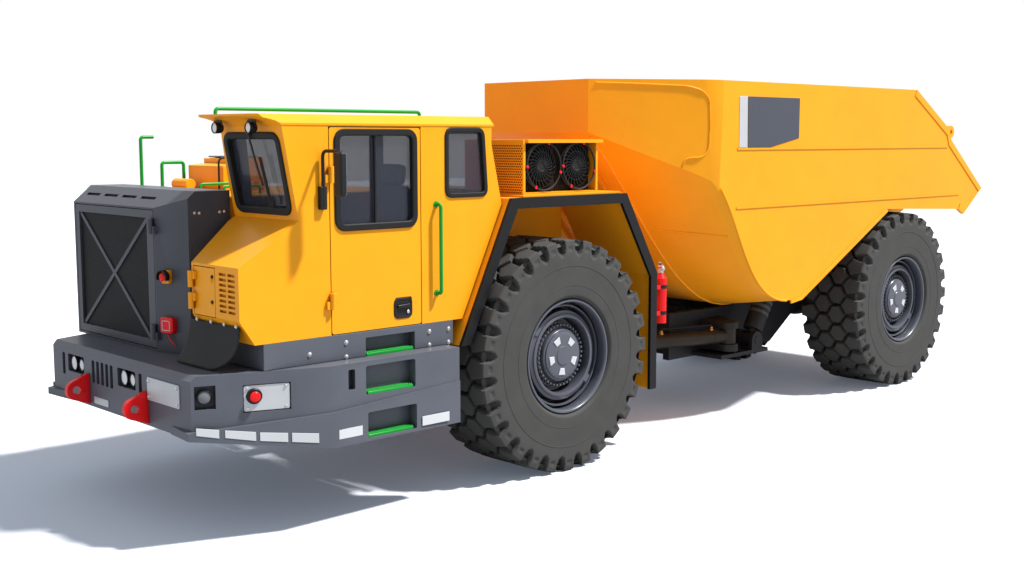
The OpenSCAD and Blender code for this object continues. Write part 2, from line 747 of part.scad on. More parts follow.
module housing_panels() {
    difference() {
        intersection() {
            translate([0, 0, deck_z]) linear_extrude(housing_z - deck_z) housing_plan(0);
            side_view(housing_right_y, housing_left_y) polygon([[housing_rear_x, deck_z], [radiator_x, deck_z],
                [radiator_x, radiator_door_z + 20], [housing_slope_x, housing_z], [housing_rear_x, housing_z]]);
        }
        translate([0, 0, deck_z - 1]) linear_extrude(radiator_door_z - deck_z - 30) difference() {
            housing_plan(housing_wall);
            translate([housing_rear_x - 1, housing_right_y]) square([1, 3000]);
        }
        box([radiator_x - housing_wall - 1, door_right_y - 6, door_bottom_z - 6],
            [radiator_x + 1, door_left_y + 6, radiator_door_z + 6]);
        for (i = [0 : 3])
            translate([(radiator_x + housing_slope_x) / 2, -1180 + i * 320, (radiator_door_z + 20 + housing_z) / 2])
                rotate([0, atan2(housing_z - radiator_door_z - 20, radiator_x - housing_slope_x), 0])
                cube([30, 240, 40], center = true);
    }
}

module radiator_core() {
    color(dark) box([radiator_x - 330, housing_right_y + housing_wall + 60, deck_z],
        [radiator_x - 130, housing_front_y - 60, radiator_door_z - 40]);
}

module radiator_door() {
    bar = 62;
    strip = 34;
    back = 18;
    mesh_low = [door_right_y + bar, door_bottom_z + bar];
    mesh_high = [door_left_y - bar * 1.7, radiator_door_z - bar];
    run = mesh_high - mesh_low;
    side = [-run.y, run.x] / norm(run) * strip / 2;
    color(slate) {
        front_view(radiator_x - radiator_door_t, radiator_x) difference() {
            translate([door_right_y, door_bottom_z])
                square([door_left_y - door_right_y, radiator_door_z - door_bottom_z]);
            translate(mesh_low) square(run);
        }
        front_view(radiator_x - radiator_door_t, radiator_x - radiator_door_t + back)
            translate(mesh_low - [weld, weld]) square(run + 2 * [weld, weld]);
        front_view(radiator_x - radiator_door_t + back - 1, radiator_x - 10) intersection() {
            translate(mesh_low - [weld, weld]) square(run + 2 * [weld, weld]);
            union() {
                polygon([mesh_low - run - side, mesh_high + run - side, mesh_high + run + side, mesh_low - run + side]);
                translate([mesh_low.x + mesh_high.x, 0]) mirror([1, 0])
                    polygon([mesh_low - run - side, mesh_high + run - side, mesh_high + run + side, mesh_low - run + side]);
            }
        }
        for (z = radiator_hinge_z) hinge_moving(radiator_hinge, z, [0, -1], [-hinge_stand, 0]);
    }
}

module engine_block() {
    color(silver) box([arch_x(deck_z) + arch_gap + 110, -1000, deck_z], [housing_rear_x - 30, 100, hood_z - 200]);
}

hood_wall = 60;

module engine_hood() {
    color(yellow) difference() {
        side_view(housing_right_y, housing_left_y - 20) polygon([[housing_rear_x, deck_z], [housing_rear_x, hood_z],
            [arch_top_front + arch_gap, hood_z], [arch_top_front + arch_gap, fender_z],
            [arch_x(deck_z) + arch_gap, deck_z]]);
        side_view(housing_right_y + hood_wall, housing_left_y - 20 - hood_wall) polygon([
            [housing_rear_x + 1, deck_z - 1], [housing_rear_x + 1, hood_z - hood_wall],
            [arch_x(hood_z - hood_wall) + arch_gap + 90, hood_z - hood_wall], [arch_x(deck_z - 1) + arch_gap + 90, deck_z - 1]]);
    }
}

module hood_boxes() {
    color(yellow) {
        side_view(-1300, -700) polygon([[3870, hood_z], [4020, hood_z], [4020, hood_z + 215], [3870, hood_z + 230]]);
        side_view(-1300, -640) polygon([[3640, hood_z], [3862, hood_z], [3862, hood_z + 275], [3640, hood_z + 290]]);
        translate([4150, -1290, hood_z + 50]) rotate([-90, 0, 0]) cylinder(r = 50, h = 260);
    }
}

// Fenders: a bent sheet over each front wheel with a dark flare, and the fan box on the left one

arch_top_rear = 1111;
arch_knee = [666, 1650];
flap_low_z = 545;

function arch_outer(inset) = [
    [arch_front.x - inset * 1.1, arch_front.y], [arch_top_front - inset * 0.8, fender_z - inset],
    [arch_top_rear + inset * 0.7, fender_z - inset], [arch_knee.x + inset, arch_knee.y - inset * 0.35],
    [arch_knee.x + inset, flap_low_z]
];

module arch_band(w) {
    a = arch_outer(0);
    b = arch_outer(w);
    polygon(concat(a, [for (i = [len(b) - 1 : -1 : 0]) b[i]]));
}

flare_t = 30;

module fender_shape() {
    side_view(frame_in_y + frame_t, flare_y - flare_t) arch_band(fender_t);
    side_view(0, frame_in_y + frame_t) polygon([[arch_top_rear, fender_z - fender_t],
        [arch_top_front - 60, fender_z - fender_t], [arch_top_front - 60, fender_z], [arch_top_rear, fender_z]]);
    side_view(frame_in_y, frame_in_y + frame_t) polygon([[arch_top_rear - 30, chassis_top_z],
        [arch_top_front - 60, chassis_top_z], [arch_top_front - 60, fender_z - fender_t], [arch_top_rear, fender_z - fender_t]]);
}

module flare_shape() {
    side_view(flare_y - flare_t, flare_y) arch_band(flare_w);
}

module fender_left() { color(yellow) fender_shape(); }
module fender_right() { color(yellow) mirror([0, 1, 0]) fender_shape(); }
module fender_flare_left() { color(dark) flare_shape(); }
module fender_flare_right() { color(dark) mirror([0, 1, 0]) flare_shape(); }

fan_box_low_z = fender_z;
fan_z = 2665;
fan_x = [2090, 1655];
fan_y = cab_y - 70;

fan_wall = 25;
cap_lip = 35;
sill_t = 18;
fan_shaft_r = 20;

module fan_box() {
    color(yellow) {
        difference() {
            box([fan_box_rear_x, fan_box_in_y, fan_box_low_z], [fan_box_front_x, cab_y, fan_box_z]);
            box([fan_box_rear_x + fan_wall, fan_box_in_y + fan_wall, fan_box_low_z + 35],
                [fan_box_front_x - fan_wall, cab_y + 1, fan_box_z - fan_wall]);
        }
        box([fan_box_rear_x - cap_lip, fan_box_in_y, fan_box_z - fan_wall],
            [fan_box_front_x - fan_wall, cab_y + cap_lip, fan_box_z + 5]);
        box([arch_top_rear + 60, fan_box_in_y, fan_box_low_z], [fan_box_front_x + 60, flare_y - flare_t, fan_box_low_z + sill_t]);
        for (x = fan_x) {
            box([x - 25, fan_box_in_y + fan_wall - weld, fan_z - 30], [x + 25, fan_y - 60, fan_z + 30]);
            cross_bar(fan_shaft_r, x, fan_y - 60 - weld, fan_y + 20, fan_z);
        }
    }
}

module fan_shape(x) {
    blades = 18;
    color(dark) translate([x, fan_y, fan_z]) rotate([-90, 0, 0]) difference() {
        union() {
            cylinder(r = 60, h = 45);
            for (i = [0 : blades - 1])
                rotate([0, 0, i * 360 / blades]) translate([55, -4, 10]) rotate([35, 0, 0]) cube([fan_r - 65, 8, 30]);
            difference() {
                translate([0, 0, 8]) cylinder(r = fan_r, h = 26);
                translate([0, 0, 7]) cylinder(r = fan_r - 12, h = 28);
            }
        }
        translate([0, 0, -41]) cylinder(r = fan_shaft_r + fit, h = 62);
    }
}

module fan_front() { fan_shape(fan_x[0]); }
module fan_rear() { fan_shape(fan_x[1]); }

// Rails, treads, lamps and the extinguisher

module rail(points, r) {
    for (i = [0 : len(points) - 2]) {
        d = points[i + 1] - points[i];
        l = norm(d);
        translate(points[i]) rotate([0, acos(d.z / l), atan2(d.y, d.x)]) cylinder(r = r, h = l, $fn = 20);
        if (i > 0) translate(points[i]) sphere(r = r + 1.5, $fn = 20);
    }
}

module green_rails() {
    roof_z = roof_low_z + roof_t;
    color(green) {
        rail([[4840, 600, roof_z], [4840, 600, roof_z + 45], [2880, 600, roof_z + 45], [2880, 600, roof_z]], 14);
        rail([[3300, cab_y, 2385], [3300, cab_y + 60, 2385], [3300, cab_y + 60, 1675], [3300, cab_y, 1675]], 15);
        rail([[4460, -1330, hood_z], [4460, -1330, 2915], [4330, -1330, 2915]], 15);
        rail([[4264, -1330, hood_z], [4264, -1330, 2690], [4050, -1330, 2690], [4050, -1330, hood_z]], 15);
        for (z = [upper_step_z[0], lower_step_z[0]])
            box([step_rear_x + 20, skirt_y - step_depth, z], [step_front_x - 20, skirt_y - 5, z + 30]);
        box([3540, cab_y - step_depth, deck_z], [3999, cab_y - 5, deck_z + 30]);
    }
}

work_lamp = [4780, roof_low_z - 18];
work_lamp_y = [590, 1055];

module lamps() {
    color(silver) {
        for (y = lamp_y) {
            translate([bumper_x - recess, y - 62, 1094]) rotate([0, 90, 0]) cylinder(r = 62, h = recess - 8);
            translate([bumper_x - recess, y + 75, 1094]) rotate([0, 90, 0]) cylinder(r = 50, h = recess - 8);
        }
        both_sides() on_corner(100) translate([0, -recess, 1084]) rotate([-90, 0, 0]) cylinder(r = 55, h = recess - 8);
        for (y = work_lamp_y) {
            translate([work_lamp.x, y, work_lamp.y]) rotate([0, 90, 0]) cylinder(r = 42, h = 70);
            side_view(y - 12, y + 12) polygon([for (p = [[20, 30], [50, 30]]) work_lamp + p,
                for (x = [50, 20]) [work_lamp.x + x, visor_z(work_lamp.x + x) - seat]]);
        }
    }
}

module extinguisher() {
    x = 510;
    y = cab_y;
    color(red) {
        translate([x, y, 1150]) cylinder(r = 58, h = 430);
        translate([x, y, 1580]) cylinder(r1 = 58, r2 = 25, h = 50);
        translate([x, y, 1630]) cylinder(r = 25, h = 60);
        box([x, y - 40, 1230], [arch_knee.x, y + 40, 1270]);
        box([x, y - 40, 1480], [arch_knee.x, y + 40, 1520]);
    }
}

// Rear frame: pivot block, deep side plates over the axle, clevises and the ears of the dump body's hinge

rear_in_y = 500;
rear_t = 80;
pivot_low_z = fork_low_z + fork_t + seat;
pivot_high_z = fork_high_z - seat;
floor_rear = [rear_axle_x - 1365, 1965];

function floor_z(x) = scoop_z + (floor_rear.y - scoop_z) * (scoop_x - x) / (scoop_x - floor_rear.x);

frame_rise = [rear_axle_x + 2215, rear_axle_x - 185];

// Top edge of the rear frame's side plates where it runs up along the body's floor
function frame_top_z(x) = let (low = scoop_z - 60, high = floor_z(frame_rise[1]) - 70)
    low + (high - low) * (x - frame_rise[0]) / (frame_rise[1] - frame_rise[0]);

module rear_plate() {
    polygon([[-520, 560], [rear_axle_x + 1365, 560], [rear_axle_x + 715, 1000], [rear_axle_x + 420, pad_z], [rear_axle_x - 420, pad_z],
        [bed_hinge_x - 90, bed_hinge_z - 260], [bed_hinge_x - 130, bed_hinge_z], [bed_hinge_x - 90, bed_hinge_z + 90],
        [bed_hinge_x + 60, bed_hinge_z + 110], [frame_rise[1], frame_top_z(frame_rise[1])],
        [frame_rise[0], frame_top_z(frame_rise[0])],
        [-520, scoop_z - 60]]);
}

module rear_frame() {
    color(dark) {
        both_sides() {
            difference() {
                side_view(rear_in_y, rear_in_y + rear_t) rear_plate();
                cross_bar(bed_pin_r + fit, bed_hinge_x, rear_in_y - 1, rear_in_y + rear_t + 1, bed_hinge_z);
            }
            steer_clevis();
            hoist_foot();
        }
        box([-600, -rear_in_y, pivot_low_z], [-520, rear_in_y, pivot_high_z]);
        for (x = [rear_axle_x + 2315, rear_axle_x + 1415])
            box([x, -rear_in_y, 620], [x + 90, rear_in_y, 1000]);
        box([rear_axle_x + 515, -rear_in_y, pad_z + 20], [rear_axle_x + 605, rear_in_y, pad_z + 150]);
        box([rear_axle_x - 785, -rear_in_y, 1400], [rear_axle_x - 705, rear_in_y, 1560]);
        for (z = [pivot_low_z, pivot_high_z - 100])
            translate([0, 0, z]) linear_extrude(100) {
                circle(r = 170);
                polygon([[0, -170], [0, 170], [-520, 300], [-520, -300]]);
            }
        translate([0, 0, fork_low_z - 20]) cylinder(r = pivot_r, h = fork_high_z + fork_t - fork_low_z + 40);
    }
}

clevis_half = steer_r + 10;

module steer_clevis() {
    for (z = [[steer_z - clevis_half - 75, steer_z - clevis_half], [steer_z + clevis_half, steer_z + clevis_half + 65]])
        translate([0, 0, z[0]]) linear_extrude(z[1] - z[0]) {
            translate(steer_rear) circle(r = 110);
            polygon([[steer_rear.x - 110, steer_rear.y], [steer_rear.x + 110, steer_rear.y],
                [steer_rear.x + 110, rear_in_y + rear_t], [steer_rear.x - 300, rear_in_y + rear_t]]);
        }
    translate([steer_rear.x, steer_rear.y, steer_z - clevis_half - 80]) cylinder(r = 45, h = 2 * clevis_half + 150);
}

module hoist_foot() {
    for (y = [[hoist_y - 160, hoist_y - 65], [hoist_y + 65, hoist_y + 110]])
        side_view(y[0], y[1]) {
            translate(hoist_low) circle(r = 95);
            polygon([[hoist_low.x - 95, hoist_low.y], [hoist_low.x + 95, hoist_low.y], [hoist_low.x + 95, 585],
                [hoist_low.x - 95, 585]]);
        }
    box([hoist_low.x - 200, rear_in_y + rear_t, 570], [steer_rear.x + 200, hoist_y + 110, 610]);
    box([hoist_low.x - 95, rear_in_y + rear_t, 610], [hoist_low.x + 95, hoist_y - 160, 760]);
    cross_bar(45, hoist_low.x, hoist_y - 165, hoist_y + 115, hoist_low.y);
}

// Dump body: sheets ruled between the scoop's curve and the front edge of the side walls

curve_steps = 14;
side_lip = [-67, 2500];
pouch = [scoop_x + 14, 1205];
well_x = scoop_x - 284;
trough_x = scoop_x - 134;
ear_low = [rear_axle_x - 1095, 2880];
ear_high = [rear_axle_x - 1035, 3010];
top_rear_x = rear_axle_x - 225;
tail_low = [[rear_axle_x - 1355, bed_wing_z - 70], [rear_axle_x - 1485, bed_wing_z - 135]];
arch_low = [[scoop_x - 174, 1225], [rear_axle_x + 375, bed_wing_z]];
panel_x = -110;
// Turned corner between the slanted front panel and the side: share of the panel, place from the side, set back
bend = [[0.9, 72, 0], [0.975, 18, 33], [1, 0, 126]];

function bezier(p, t) = pow(1 - t, 3) * p[0] + 3 * t * pow(1 - t, 2) * p[1] + 3 * t * t * (1 - t) * p[2]
    + pow(t, 3) * p[3];

function scoop_curve(dx, dz) = [for (i = [0 : curve_steps])
    bezier([[bed_front_x, bed_lip_z], [200, 2360], [-420, 1010], [scoop_x, scoop_z]], i / curve_steps) + [dx, dz]];

// Front edge of a side wall, set back at its top by the turned corner
function side_curve(dx, dz, back) = [for (i = [0 : curve_steps])
    bezier([side_lip, [-480, 2080], [-600, pouch.y], pouch], i / curve_steps) + [dx, dz]
        - back * (1 - i / curve_steps) * [1, 0.5]];

// One side-view section of the body: top, front wall, curve, floor and tail, moved in by the wall for the load space
function bed_section(curve, front_x, floor_a, floor_b, inset) = let (over = inset > 0 ? 1 : 0) concat(
    [[front_x - inset, bed_top_z + over]],
    curve,
    [floor_a + [0, inset], floor_b + [0, inset], [floor_rear.x, max(floor_rear.y, floor_b.y) + inset],
        [tail_x - 300 * over, tail_z + (inset + 200) * over],
        [tail_x + 300 - 600 * over, bed_top_z + over]]);

function centre_section(inset) = bed_section(scoop_curve(-inset * 0.8, inset * 0.8), bed_front_x,
    [trough_x, floor_z(trough_x)], [well_x, floor_z(well_x)], inset);
function wing_section(inset) = bed_section(scoop_curve(-inset * 0.8, inset * 0.8), bed_front_x,
    [trough_x, pouch.y + 45], [well_x, bed_wing_z], inset);
function wall_section(inset, back) = bed_section(side_curve(-inset * 0.8, inset * 0.8, back), panel_x - back,
    [trough_x, pouch.y + 55], [well_x, bed_wing_z], inset);
function bend_section(inset, b) = lerp(wing_section(inset), wall_section(inset, b[2]), b[0]);

// Joins side-view sections at the given places across the truck into one solid
module loft(sections, ys) {
    n = len(sections[0]);
    m = len(sections);
    points = [for (i = [0 : m - 1], p = sections[i]) [p.x, ys[i], p.y]];
    sides = [for (i = [0 : m - 2], k = [0 : n - 1])
        let (a = i * n + k, b = i * n + (k + 1) % n)
        each [[a, b + n, b], [a, a + n, b + n]]];
    last = (m - 1) * n;
    ends = [for (k = [1 : n - 2]) each [[0, k, k + 1], [last, last + k + 1, last + k]]];
    polyhedron(points, concat(sides, ends));
}

module bed_loft(inset) {
    y_wing = bed_front_half - inset * 0.6;
    y_mid = bed_front_half - 50 - inset;
    half = concat([for (b = [bend[2], bend[1], bend[0]]) [bend_section(inset, b), bed_y - b[1] - inset]],
        [[wing_section(inset), y_wing], [centre_section(inset), y_mid]]);
    n = len(half);
    loft(concat([for (h = half) h[0]], [for (i = [n - 1 : -1 : 0]) half[i][0]]),
        concat([for (h = half) -h[1]], [for (i = [n - 1 : -1 : 0]) half[i][1]]));
}

module bed_side() {
    polygon(concat([[panel_x - bend[2][2], bed_top_z]], side_curve(0, 0, bend[2][2]), arch_low, tail_low,
        [[tail_x, tail_z], ear_low, ear_high, [top_rear_x, bed_top_z]]));
}

// A strip of a width inside a path
module strip(path, w) {
    n = len(path) - 1;
    inner = [for (i = [0 : n]) let (d = path[min(i + 1, n)] - path[max(i - 1, 0)]) path[i] + [-d.y, d.x] / norm(d) * w];
    polygon(concat(path, [for (i = [n : -1 : 0]) inner[i]]));
}

bead_z = [2790, 2205];
bead_h = 18;
bead_front_x = -470;
rim_w = 80;
press = 9;
rib_y = [180, 330, 480];

// Pressed beads, the raised rim of the tail and the rolled edge over the wheel
module bed_pressings() {
    side_view(bed_y - 1, bed_y + press) {
        translate([ear_low.x + rim_w, bead_z[0]]) square([bead_front_x - ear_low.x - rim_w, bead_h]);
        translate([tail_low[0].x, bead_z[1]]) square([bead_front_x - tail_low[0].x, bead_h]);
        strip([[top_rear_x, bed_top_z], ear_high, ear_low, [tail_x, tail_z], tail_low[1], tail_low[0]], rim_w);
    }
    side_view(bed_y - 1, bed_y + 2 * press) strip([arch_low[1], arch_low[0], pouch], -35);
}

module bed_eye(at, y0, y1, r, root) {
    side_view(y0, y1) {
        translate(at) circle(r = r);
        polygon([tangent(root[0], at, r, -1), at, tangent(root[1], at, r, 1), root[1], root[0]]);
    }
}

// The front, the scoop, the trough and the wings as one sheet between the side walls
module bed_sheet() {
    difference() {
        intersection() {
            bed_loft(0);
            side_view(-bed_y, bed_y) polygon([[bed_front_x + 300, 900], [bed_front_x + 300, bed_top_z], [top_rear_x, bed_top_z],
                ear_high, ear_low, [tail_x, tail_z], [tail_low[1].x, 1900], [rear_axle_x - 285, 900]]);
        }
        bed_loft(bed_wall);
        both_sides() side_view(bed_y - bed_wall, bed_y + 1) bed_side();
    }
}

module dump_body() {
    color(yellow) {
        intersection() {
            bed_sheet();
            box([well_x, -bed_y, scoop_z - 100], [bed_front_x + 100, bed_y, bed_top_z + 100]);
        }
        both_sides() for (y = rib_y)
            side_view(y, y + 30) polygon(concat([for (i = [2 : 9]) scoop_curve(-10, 5)[i]],
                [for (i = [9 : -1 : 2]) scoop_curve(28, -18)[i]]));
    }
}

// Foremost end of the tail, just ahead of the roots of its hinge ears
hinge_root = [-110, 200];
tail_split_x = bed_hinge_x + hinge_root[1] + 20;

// The part of the sheet between two places along and two across the truck
module bed_cut(x, y) {
    intersection() {
        bed_sheet();
        box([x[0], y[0], scoop_z - 100], [x[1], y[1], bed_top_z + 100]);
    }
}

module dump_floor() {
    pad = [scoop_x - 734, scoop_x - 434];
    color(yellow) {
        bed_cut([tail_split_x, well_x], [-bed_front_half, bed_front_half]);
        both_sides() side_view(rear_in_y + 5, rear_in_y + rear_t - 5) polygon([
            for (x = pad) [x, frame_top_z(x) + seat],
            for (x = [pad[1], pad[0]]) [x, floor_z(x) + 20]]);
    }
}

module dump_wings() {
    color(yellow) both_sides() bed_cut([tail_split_x, well_x], [bed_front_half, bed_y]);
}

module dump_tail() {
    hinge = [bed_hinge_x, bed_hinge_z];
    color(yellow) {
        bed_cut([tail_x - 100, tail_split_x], [-bed_y, bed_y]);
        both_sides() {
            bed_eye(hinge, rear_in_y - 130, rear_in_y - 10, 110,
                [for (x = hinge_root) [hinge.x + x, floor_z(hinge.x + x) + 10]]);
            cross_bar(bed_pin_r, bed_hinge_x, rear_in_y - 130, rear_in_y + rear_t + 20, bed_hinge_z);
        }
    }
}

module hoist_ears() {
    color(yellow) both_sides() for (y = [[hoist_y - 120, hoist_y - 65], [hoist_y + 65, hoist_y + 120]])
        bed_eye(hoist_high, y[0], y[1], 90, [for (x = [-140, 140]) [hoist_high.x + x, bed_wing_z]]);
}

module bed_wall_shape() {
    eye = ear_high + [-60, -30];
    difference() {
        union() {
            side_view(bed_y - bed_wall, bed_y) {
                bed_side();
                translate(eye) circle(r = 75);
            }
            bed_pressings();
        }
        cross_bar(28, eye.x, bed_y - bed_wall - 1, bed_y + 2 * press, eye.y);
    }
}

module dump_side_left() { color(yellow) bed_wall_shape(); }
module dump_side_right() { color(yellow) mirror([0, 1, 0]) bed_wall_shape(); }

// Cylinders: each piece is drawn along its own axis, from its foot at zero

steer_line = steer_front - steer_rear;
steer_len = norm(steer_line);
barrel_len = steer_len * 0.682;
rod_len = steer_len * 0.646;
rod_r = 40;
eye_r = 85;
eye_h = 60;

module steer_place(side) {
    translate([steer_rear.x, side * steer_rear.y, steer_z]) rotate([0, 0, side * atan2(steer_line.y, steer_line.x)]) children();
}

module steer_barrel() {
    difference() {
        union() {
            translate([eye_r - 25, 0, 0]) rotate([0, 90, 0]) cylinder(r = steer_r, h = barrel_len - eye_r + 25);
            translate([0, 0, 5 - clevis_half]) cylinder(r = eye_r, h = 2 * clevis_half - 10);
        }
        translate([160, 0, 0]) rotate([0, 90, 0]) cylinder(r = 40 + fit, h = barrel_len);
        translate([0, 0, -clevis_half]) cylinder(r = 45 + fit, h = 2 * clevis_half);
    }
}

module steer_rod() {
    translate([steer_len - rod_len, 0, 0]) rotate([0, 90, 0]) cylinder(r = 40, h = rod_len - 60);
    translate([steer_len, 0, -eye_h]) cylinder(r = eye_r, h = 2 * eye_h);
}

module steer_barrel_left() { color(dark) steer_place(1) steer_barrel(); }
module steer_barrel_right() { color(dark) steer_place(-1) steer_barrel(); }
module steer_rod_left() { color(silver) steer_place(1) steer_rod(); }
module steer_rod_right() { color(silver) steer_place(-1) steer_rod(); }

hoist_line = hoist_high - hoist_low;
hoist_len = norm(hoist_line);
stage_step = 17;
stage_play = 0.1;
stage_end = [hoist_len - 205, hoist_len - 165, hoist_len - 132, hoist_len - 60];

module hoist_place(side) {
    translate([hoist_low.x, side * hoist_y, hoist_low.y]) rotate([0, 90 - atan2(hoist_line.y, hoist_line.x), 0]) children();
}

module hoist_eye(z) {
    translate([0, 0, z]) rotate([90, 0, 0]) cylinder(r = 85, h = 120, center = true);
}

module hoist_barrel() {
    difference() {
        hoist_eye(0);
        rotate([90, 0, 0]) cylinder(r = 45 + fit, h = 122, center = true);
    }
    translate([0, 0, 60]) cylinder(r = 55, h = 60);
    difference() {
        translate([0, 0, 115]) cylinder(r = hoist_r, h = stage_end[0] - 115);
        translate([0, 0, 150]) cylinder(r = hoist_r - stage_step, h = hoist_len);
    }
}

// Nested tubes: stage 1 and 2 are hollow, stage 3 is the rod
module hoist_stage(i) {
    r = hoist_r - stage_step * i - stage_play;
    difference() {
        translate([0, 0, 120 + 40 * i]) cylinder(r = r, h = stage_end[i] - 120 - 40 * i);
        translate([0, 0, 140 + 40 * i]) cylinder(r = r - stage_step + stage_play, h = hoist_len);
    }
}

module hoist_rod() {
    translate([0, 0, 240]) cylinder(r = hoist_r - 3 * stage_step - stage_play, h = stage_end[3] - 240);
    hoist_eye(hoist_len);
}

module hoist_barrel_left() { color(dark) hoist_place(1) hoist_barrel(); }
module hoist_outer_left() { color(silver) hoist_place(1) hoist_stage(1); }
module hoist_inner_left() { color(silver) hoist_place(1) hoist_stage(2); }
module hoist_rod_left() { color(silver) hoist_place(1) hoist_rod(); }
module hoist_barrel_right() { color(dark) hoist_place(-1) hoist_barrel(); }
module hoist_outer_right() { color(silver) hoist_place(-1) hoist_stage(1); }
module hoist_inner_right() { color(silver) hoist_place(-1) hoist_stage(2); }
module hoist_rod_right() { color(silver) hoist_place(-1) hoist_rod(); }

front_chassis();
bumper();
cab_base();
cab_shell();
cab_roof();
cab_glass();
operator_seat();
radiator_housing();
radiator_core();
engine_block();
engine_hood();
hood_boxes();
fender_left();
fender_right();
fender_flare_left();
fender_flare_right();
fan_box();
front_axle();
tow_lugs();
green_rails();
lamps();
side_mirror();
extinguisher();
nose_flap();
nose_hatch();
radiator_door();
cab_door();
door_glass();
fan_front();
fan_rear();
rear_frame();
rear_axle();
dump_body();
dump_floor();
dump_wings();
dump_tail();
hoist_ears();
dump_side_left();
dump_side_right();
steer_barrel_left();
steer_rod_left();
steer_barrel_right();
steer_rod_right();
hoist_barrel_left();
hoist_outer_left();
hoist_inner_left();
hoist_rod_left();
hoist_barrel_right();
hoist_outer_right();
hoist_inner_right();
hoist_rod_right();
tyre_front_left();
rim_front_left();
tyre_front_right();
rim_front_right();
tyre_rear_left();
rim_rear_left();
tyre_rear_right();
rim_rear_right();
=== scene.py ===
"""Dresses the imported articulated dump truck: finishes, tyres, glazing, lamps, trim and a plain studio stage."""
import math

import bpy
import numpy as np
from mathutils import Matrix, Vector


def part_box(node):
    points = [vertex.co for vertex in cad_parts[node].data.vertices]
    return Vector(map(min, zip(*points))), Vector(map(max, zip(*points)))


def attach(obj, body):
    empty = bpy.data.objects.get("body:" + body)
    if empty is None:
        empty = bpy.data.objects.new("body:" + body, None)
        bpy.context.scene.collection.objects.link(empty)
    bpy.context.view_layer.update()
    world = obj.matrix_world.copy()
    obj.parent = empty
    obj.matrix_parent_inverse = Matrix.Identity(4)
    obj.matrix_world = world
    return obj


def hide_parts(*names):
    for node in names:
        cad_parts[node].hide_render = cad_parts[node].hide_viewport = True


bl_info = {
    "name": "Articulated Dump Truck Dresser",
    "version": (1, 0, 0),
    "blender": (4, 5, 0),
    "location": "View3D > Sidebar > Dump Truck",
    "description": "Adds finishes, tyres, glazing, lamps and trim to the packed dump truck",
    "category": "Object",
}

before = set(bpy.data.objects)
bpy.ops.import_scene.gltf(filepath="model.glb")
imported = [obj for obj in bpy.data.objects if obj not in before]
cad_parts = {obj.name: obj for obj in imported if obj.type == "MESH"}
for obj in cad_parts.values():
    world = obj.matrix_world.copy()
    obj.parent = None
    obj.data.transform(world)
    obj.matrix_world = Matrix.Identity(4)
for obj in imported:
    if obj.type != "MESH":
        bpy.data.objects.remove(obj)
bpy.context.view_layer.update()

# Faces of the truck, each as its directions along, up and out
X, Y, Z = np.eye(3)
FACE_LEFT = (-X, Z, Y)
FACE_RIGHT = (X, Z, -Y)
FACE_FRONT = (Y, Z, X)
FACE_TOP = (X, Y, Z)
FACE_REAR = (-Y, Z, -X)


# Shapes: each is a pair of points, as rows of three, and faces, as a list of index rows


def grid_faces(m, n, wrap_m=False, wrap_n=False):
    """Quads of an m by n grid of points, row by row; a wrapped direction joins its end to its start."""
    i = np.arange(m if wrap_m else m - 1)[:, None]
    j = np.arange(n if wrap_n else n - 1)[None, :]
    k, l = (i + 1) % m, (j + 1) % n
    return np.stack([i * n + j, i * n + l, k * n + l, k * n + j], -1).reshape(-1, 4).tolist()


def join(*shapes):
    """Several shapes as one: their points in a row, with each one's faces counted on from the last."""
    points, faces, start = [], [], 0
    for p, f in shapes:
        points.append(p)
        faces += [[i + start for i in row] for row in f]
        start += len(p)
    return np.concatenate(points), faces


def placed(shape, origin, axes):
    """The shape moved to an origin and turned so that its three directions lie along the given axes."""
    points, faces = shape
    return np.asarray(origin, float) + points @ np.array(axes, float), faces


def scattered(shape, origins, axes):
    """Copies of one shape at each of the origins."""
    points, faces = placed(shape, (0, 0, 0), axes)
    origins = np.asarray(origins, float).reshape(-1, 3)
    n = len(points)
    quads = [[i + k * n for i in row] for k in range(len(origins)) for row in faces]
    return (origins[:, None] + points[None]).reshape(-1, 3), quads


def ringed(points, count, centre, axis, start=0.0):
    """Points turned about an axis through a centre to count even places: Rodrigues' turn of each copy."""
    axis = np.asarray(axis, float) / np.linalg.norm(axis)
    rel = np.asarray(points, float) - centre
    a = start + np.arange(count)[:, None, None] * 2 * math.pi / count
    along = (rel @ axis)[:, None] * axis
    return centre + along + (rel - along) * np.cos(a) + np.cross(axis, rel) * np.sin(a)


def ring_of(shape, count, centre, axis, start=0.0):
    """Copies of one shape set round an axis."""
    points, faces = shape
    n = len(points)
    quads = [[i + k * n for i in row] for k in range(count) for row in faces]
    return ringed(points, count, np.asarray(centre, float), axis, start).reshape(-1, 3), quads


def mirrored(shape):
    """The shape on the truck's other side, with its faces turned over so that they still point out."""
    points, faces = shape
    return points * (1, -1, 1), [row[::-1] for row in faces]


def lathe(profile, steps, closed=False):
    """A profile of radius and height turned about the third axis; each open end is closed by one face."""
    profile = np.asarray(profile, float)
    a = np.arange(steps) * 2 * math.pi / steps
    r, h = profile[:, :1], np.broadcast_to(profile[:, 1:], (len(profile), steps))
    rings = np.stack([r * np.cos(a), r * np.sin(a), h], -1)
    faces = grid_faces(len(profile), steps, closed, True)
    if not closed:
        faces += [list(range(steps))[::-1], [(len(profile) - 1) * steps + i for i in range(steps)]]
    return rings.reshape(-1, 3), faces


def rounded(width, height, radius, steps=5):
    """Outline of a rectangle round its middle, its corners drawn as quarter circles."""
    a = np.linspace(0, math.pi / 2, steps + 1)
    arc = np.stack([np.cos(a), np.sin(a)], -1) * radius
    turn = np.array([[0, 1], [-1, 0]])
    x, y = width / 2 - radius, height / 2 - radius
    corners = [(x, y), (-x, y), (-x, -y), (x, -y)]
    return np.concatenate([np.array(c) + arc @ np.linalg.matrix_power(turn, k) for k, c in enumerate(corners)])


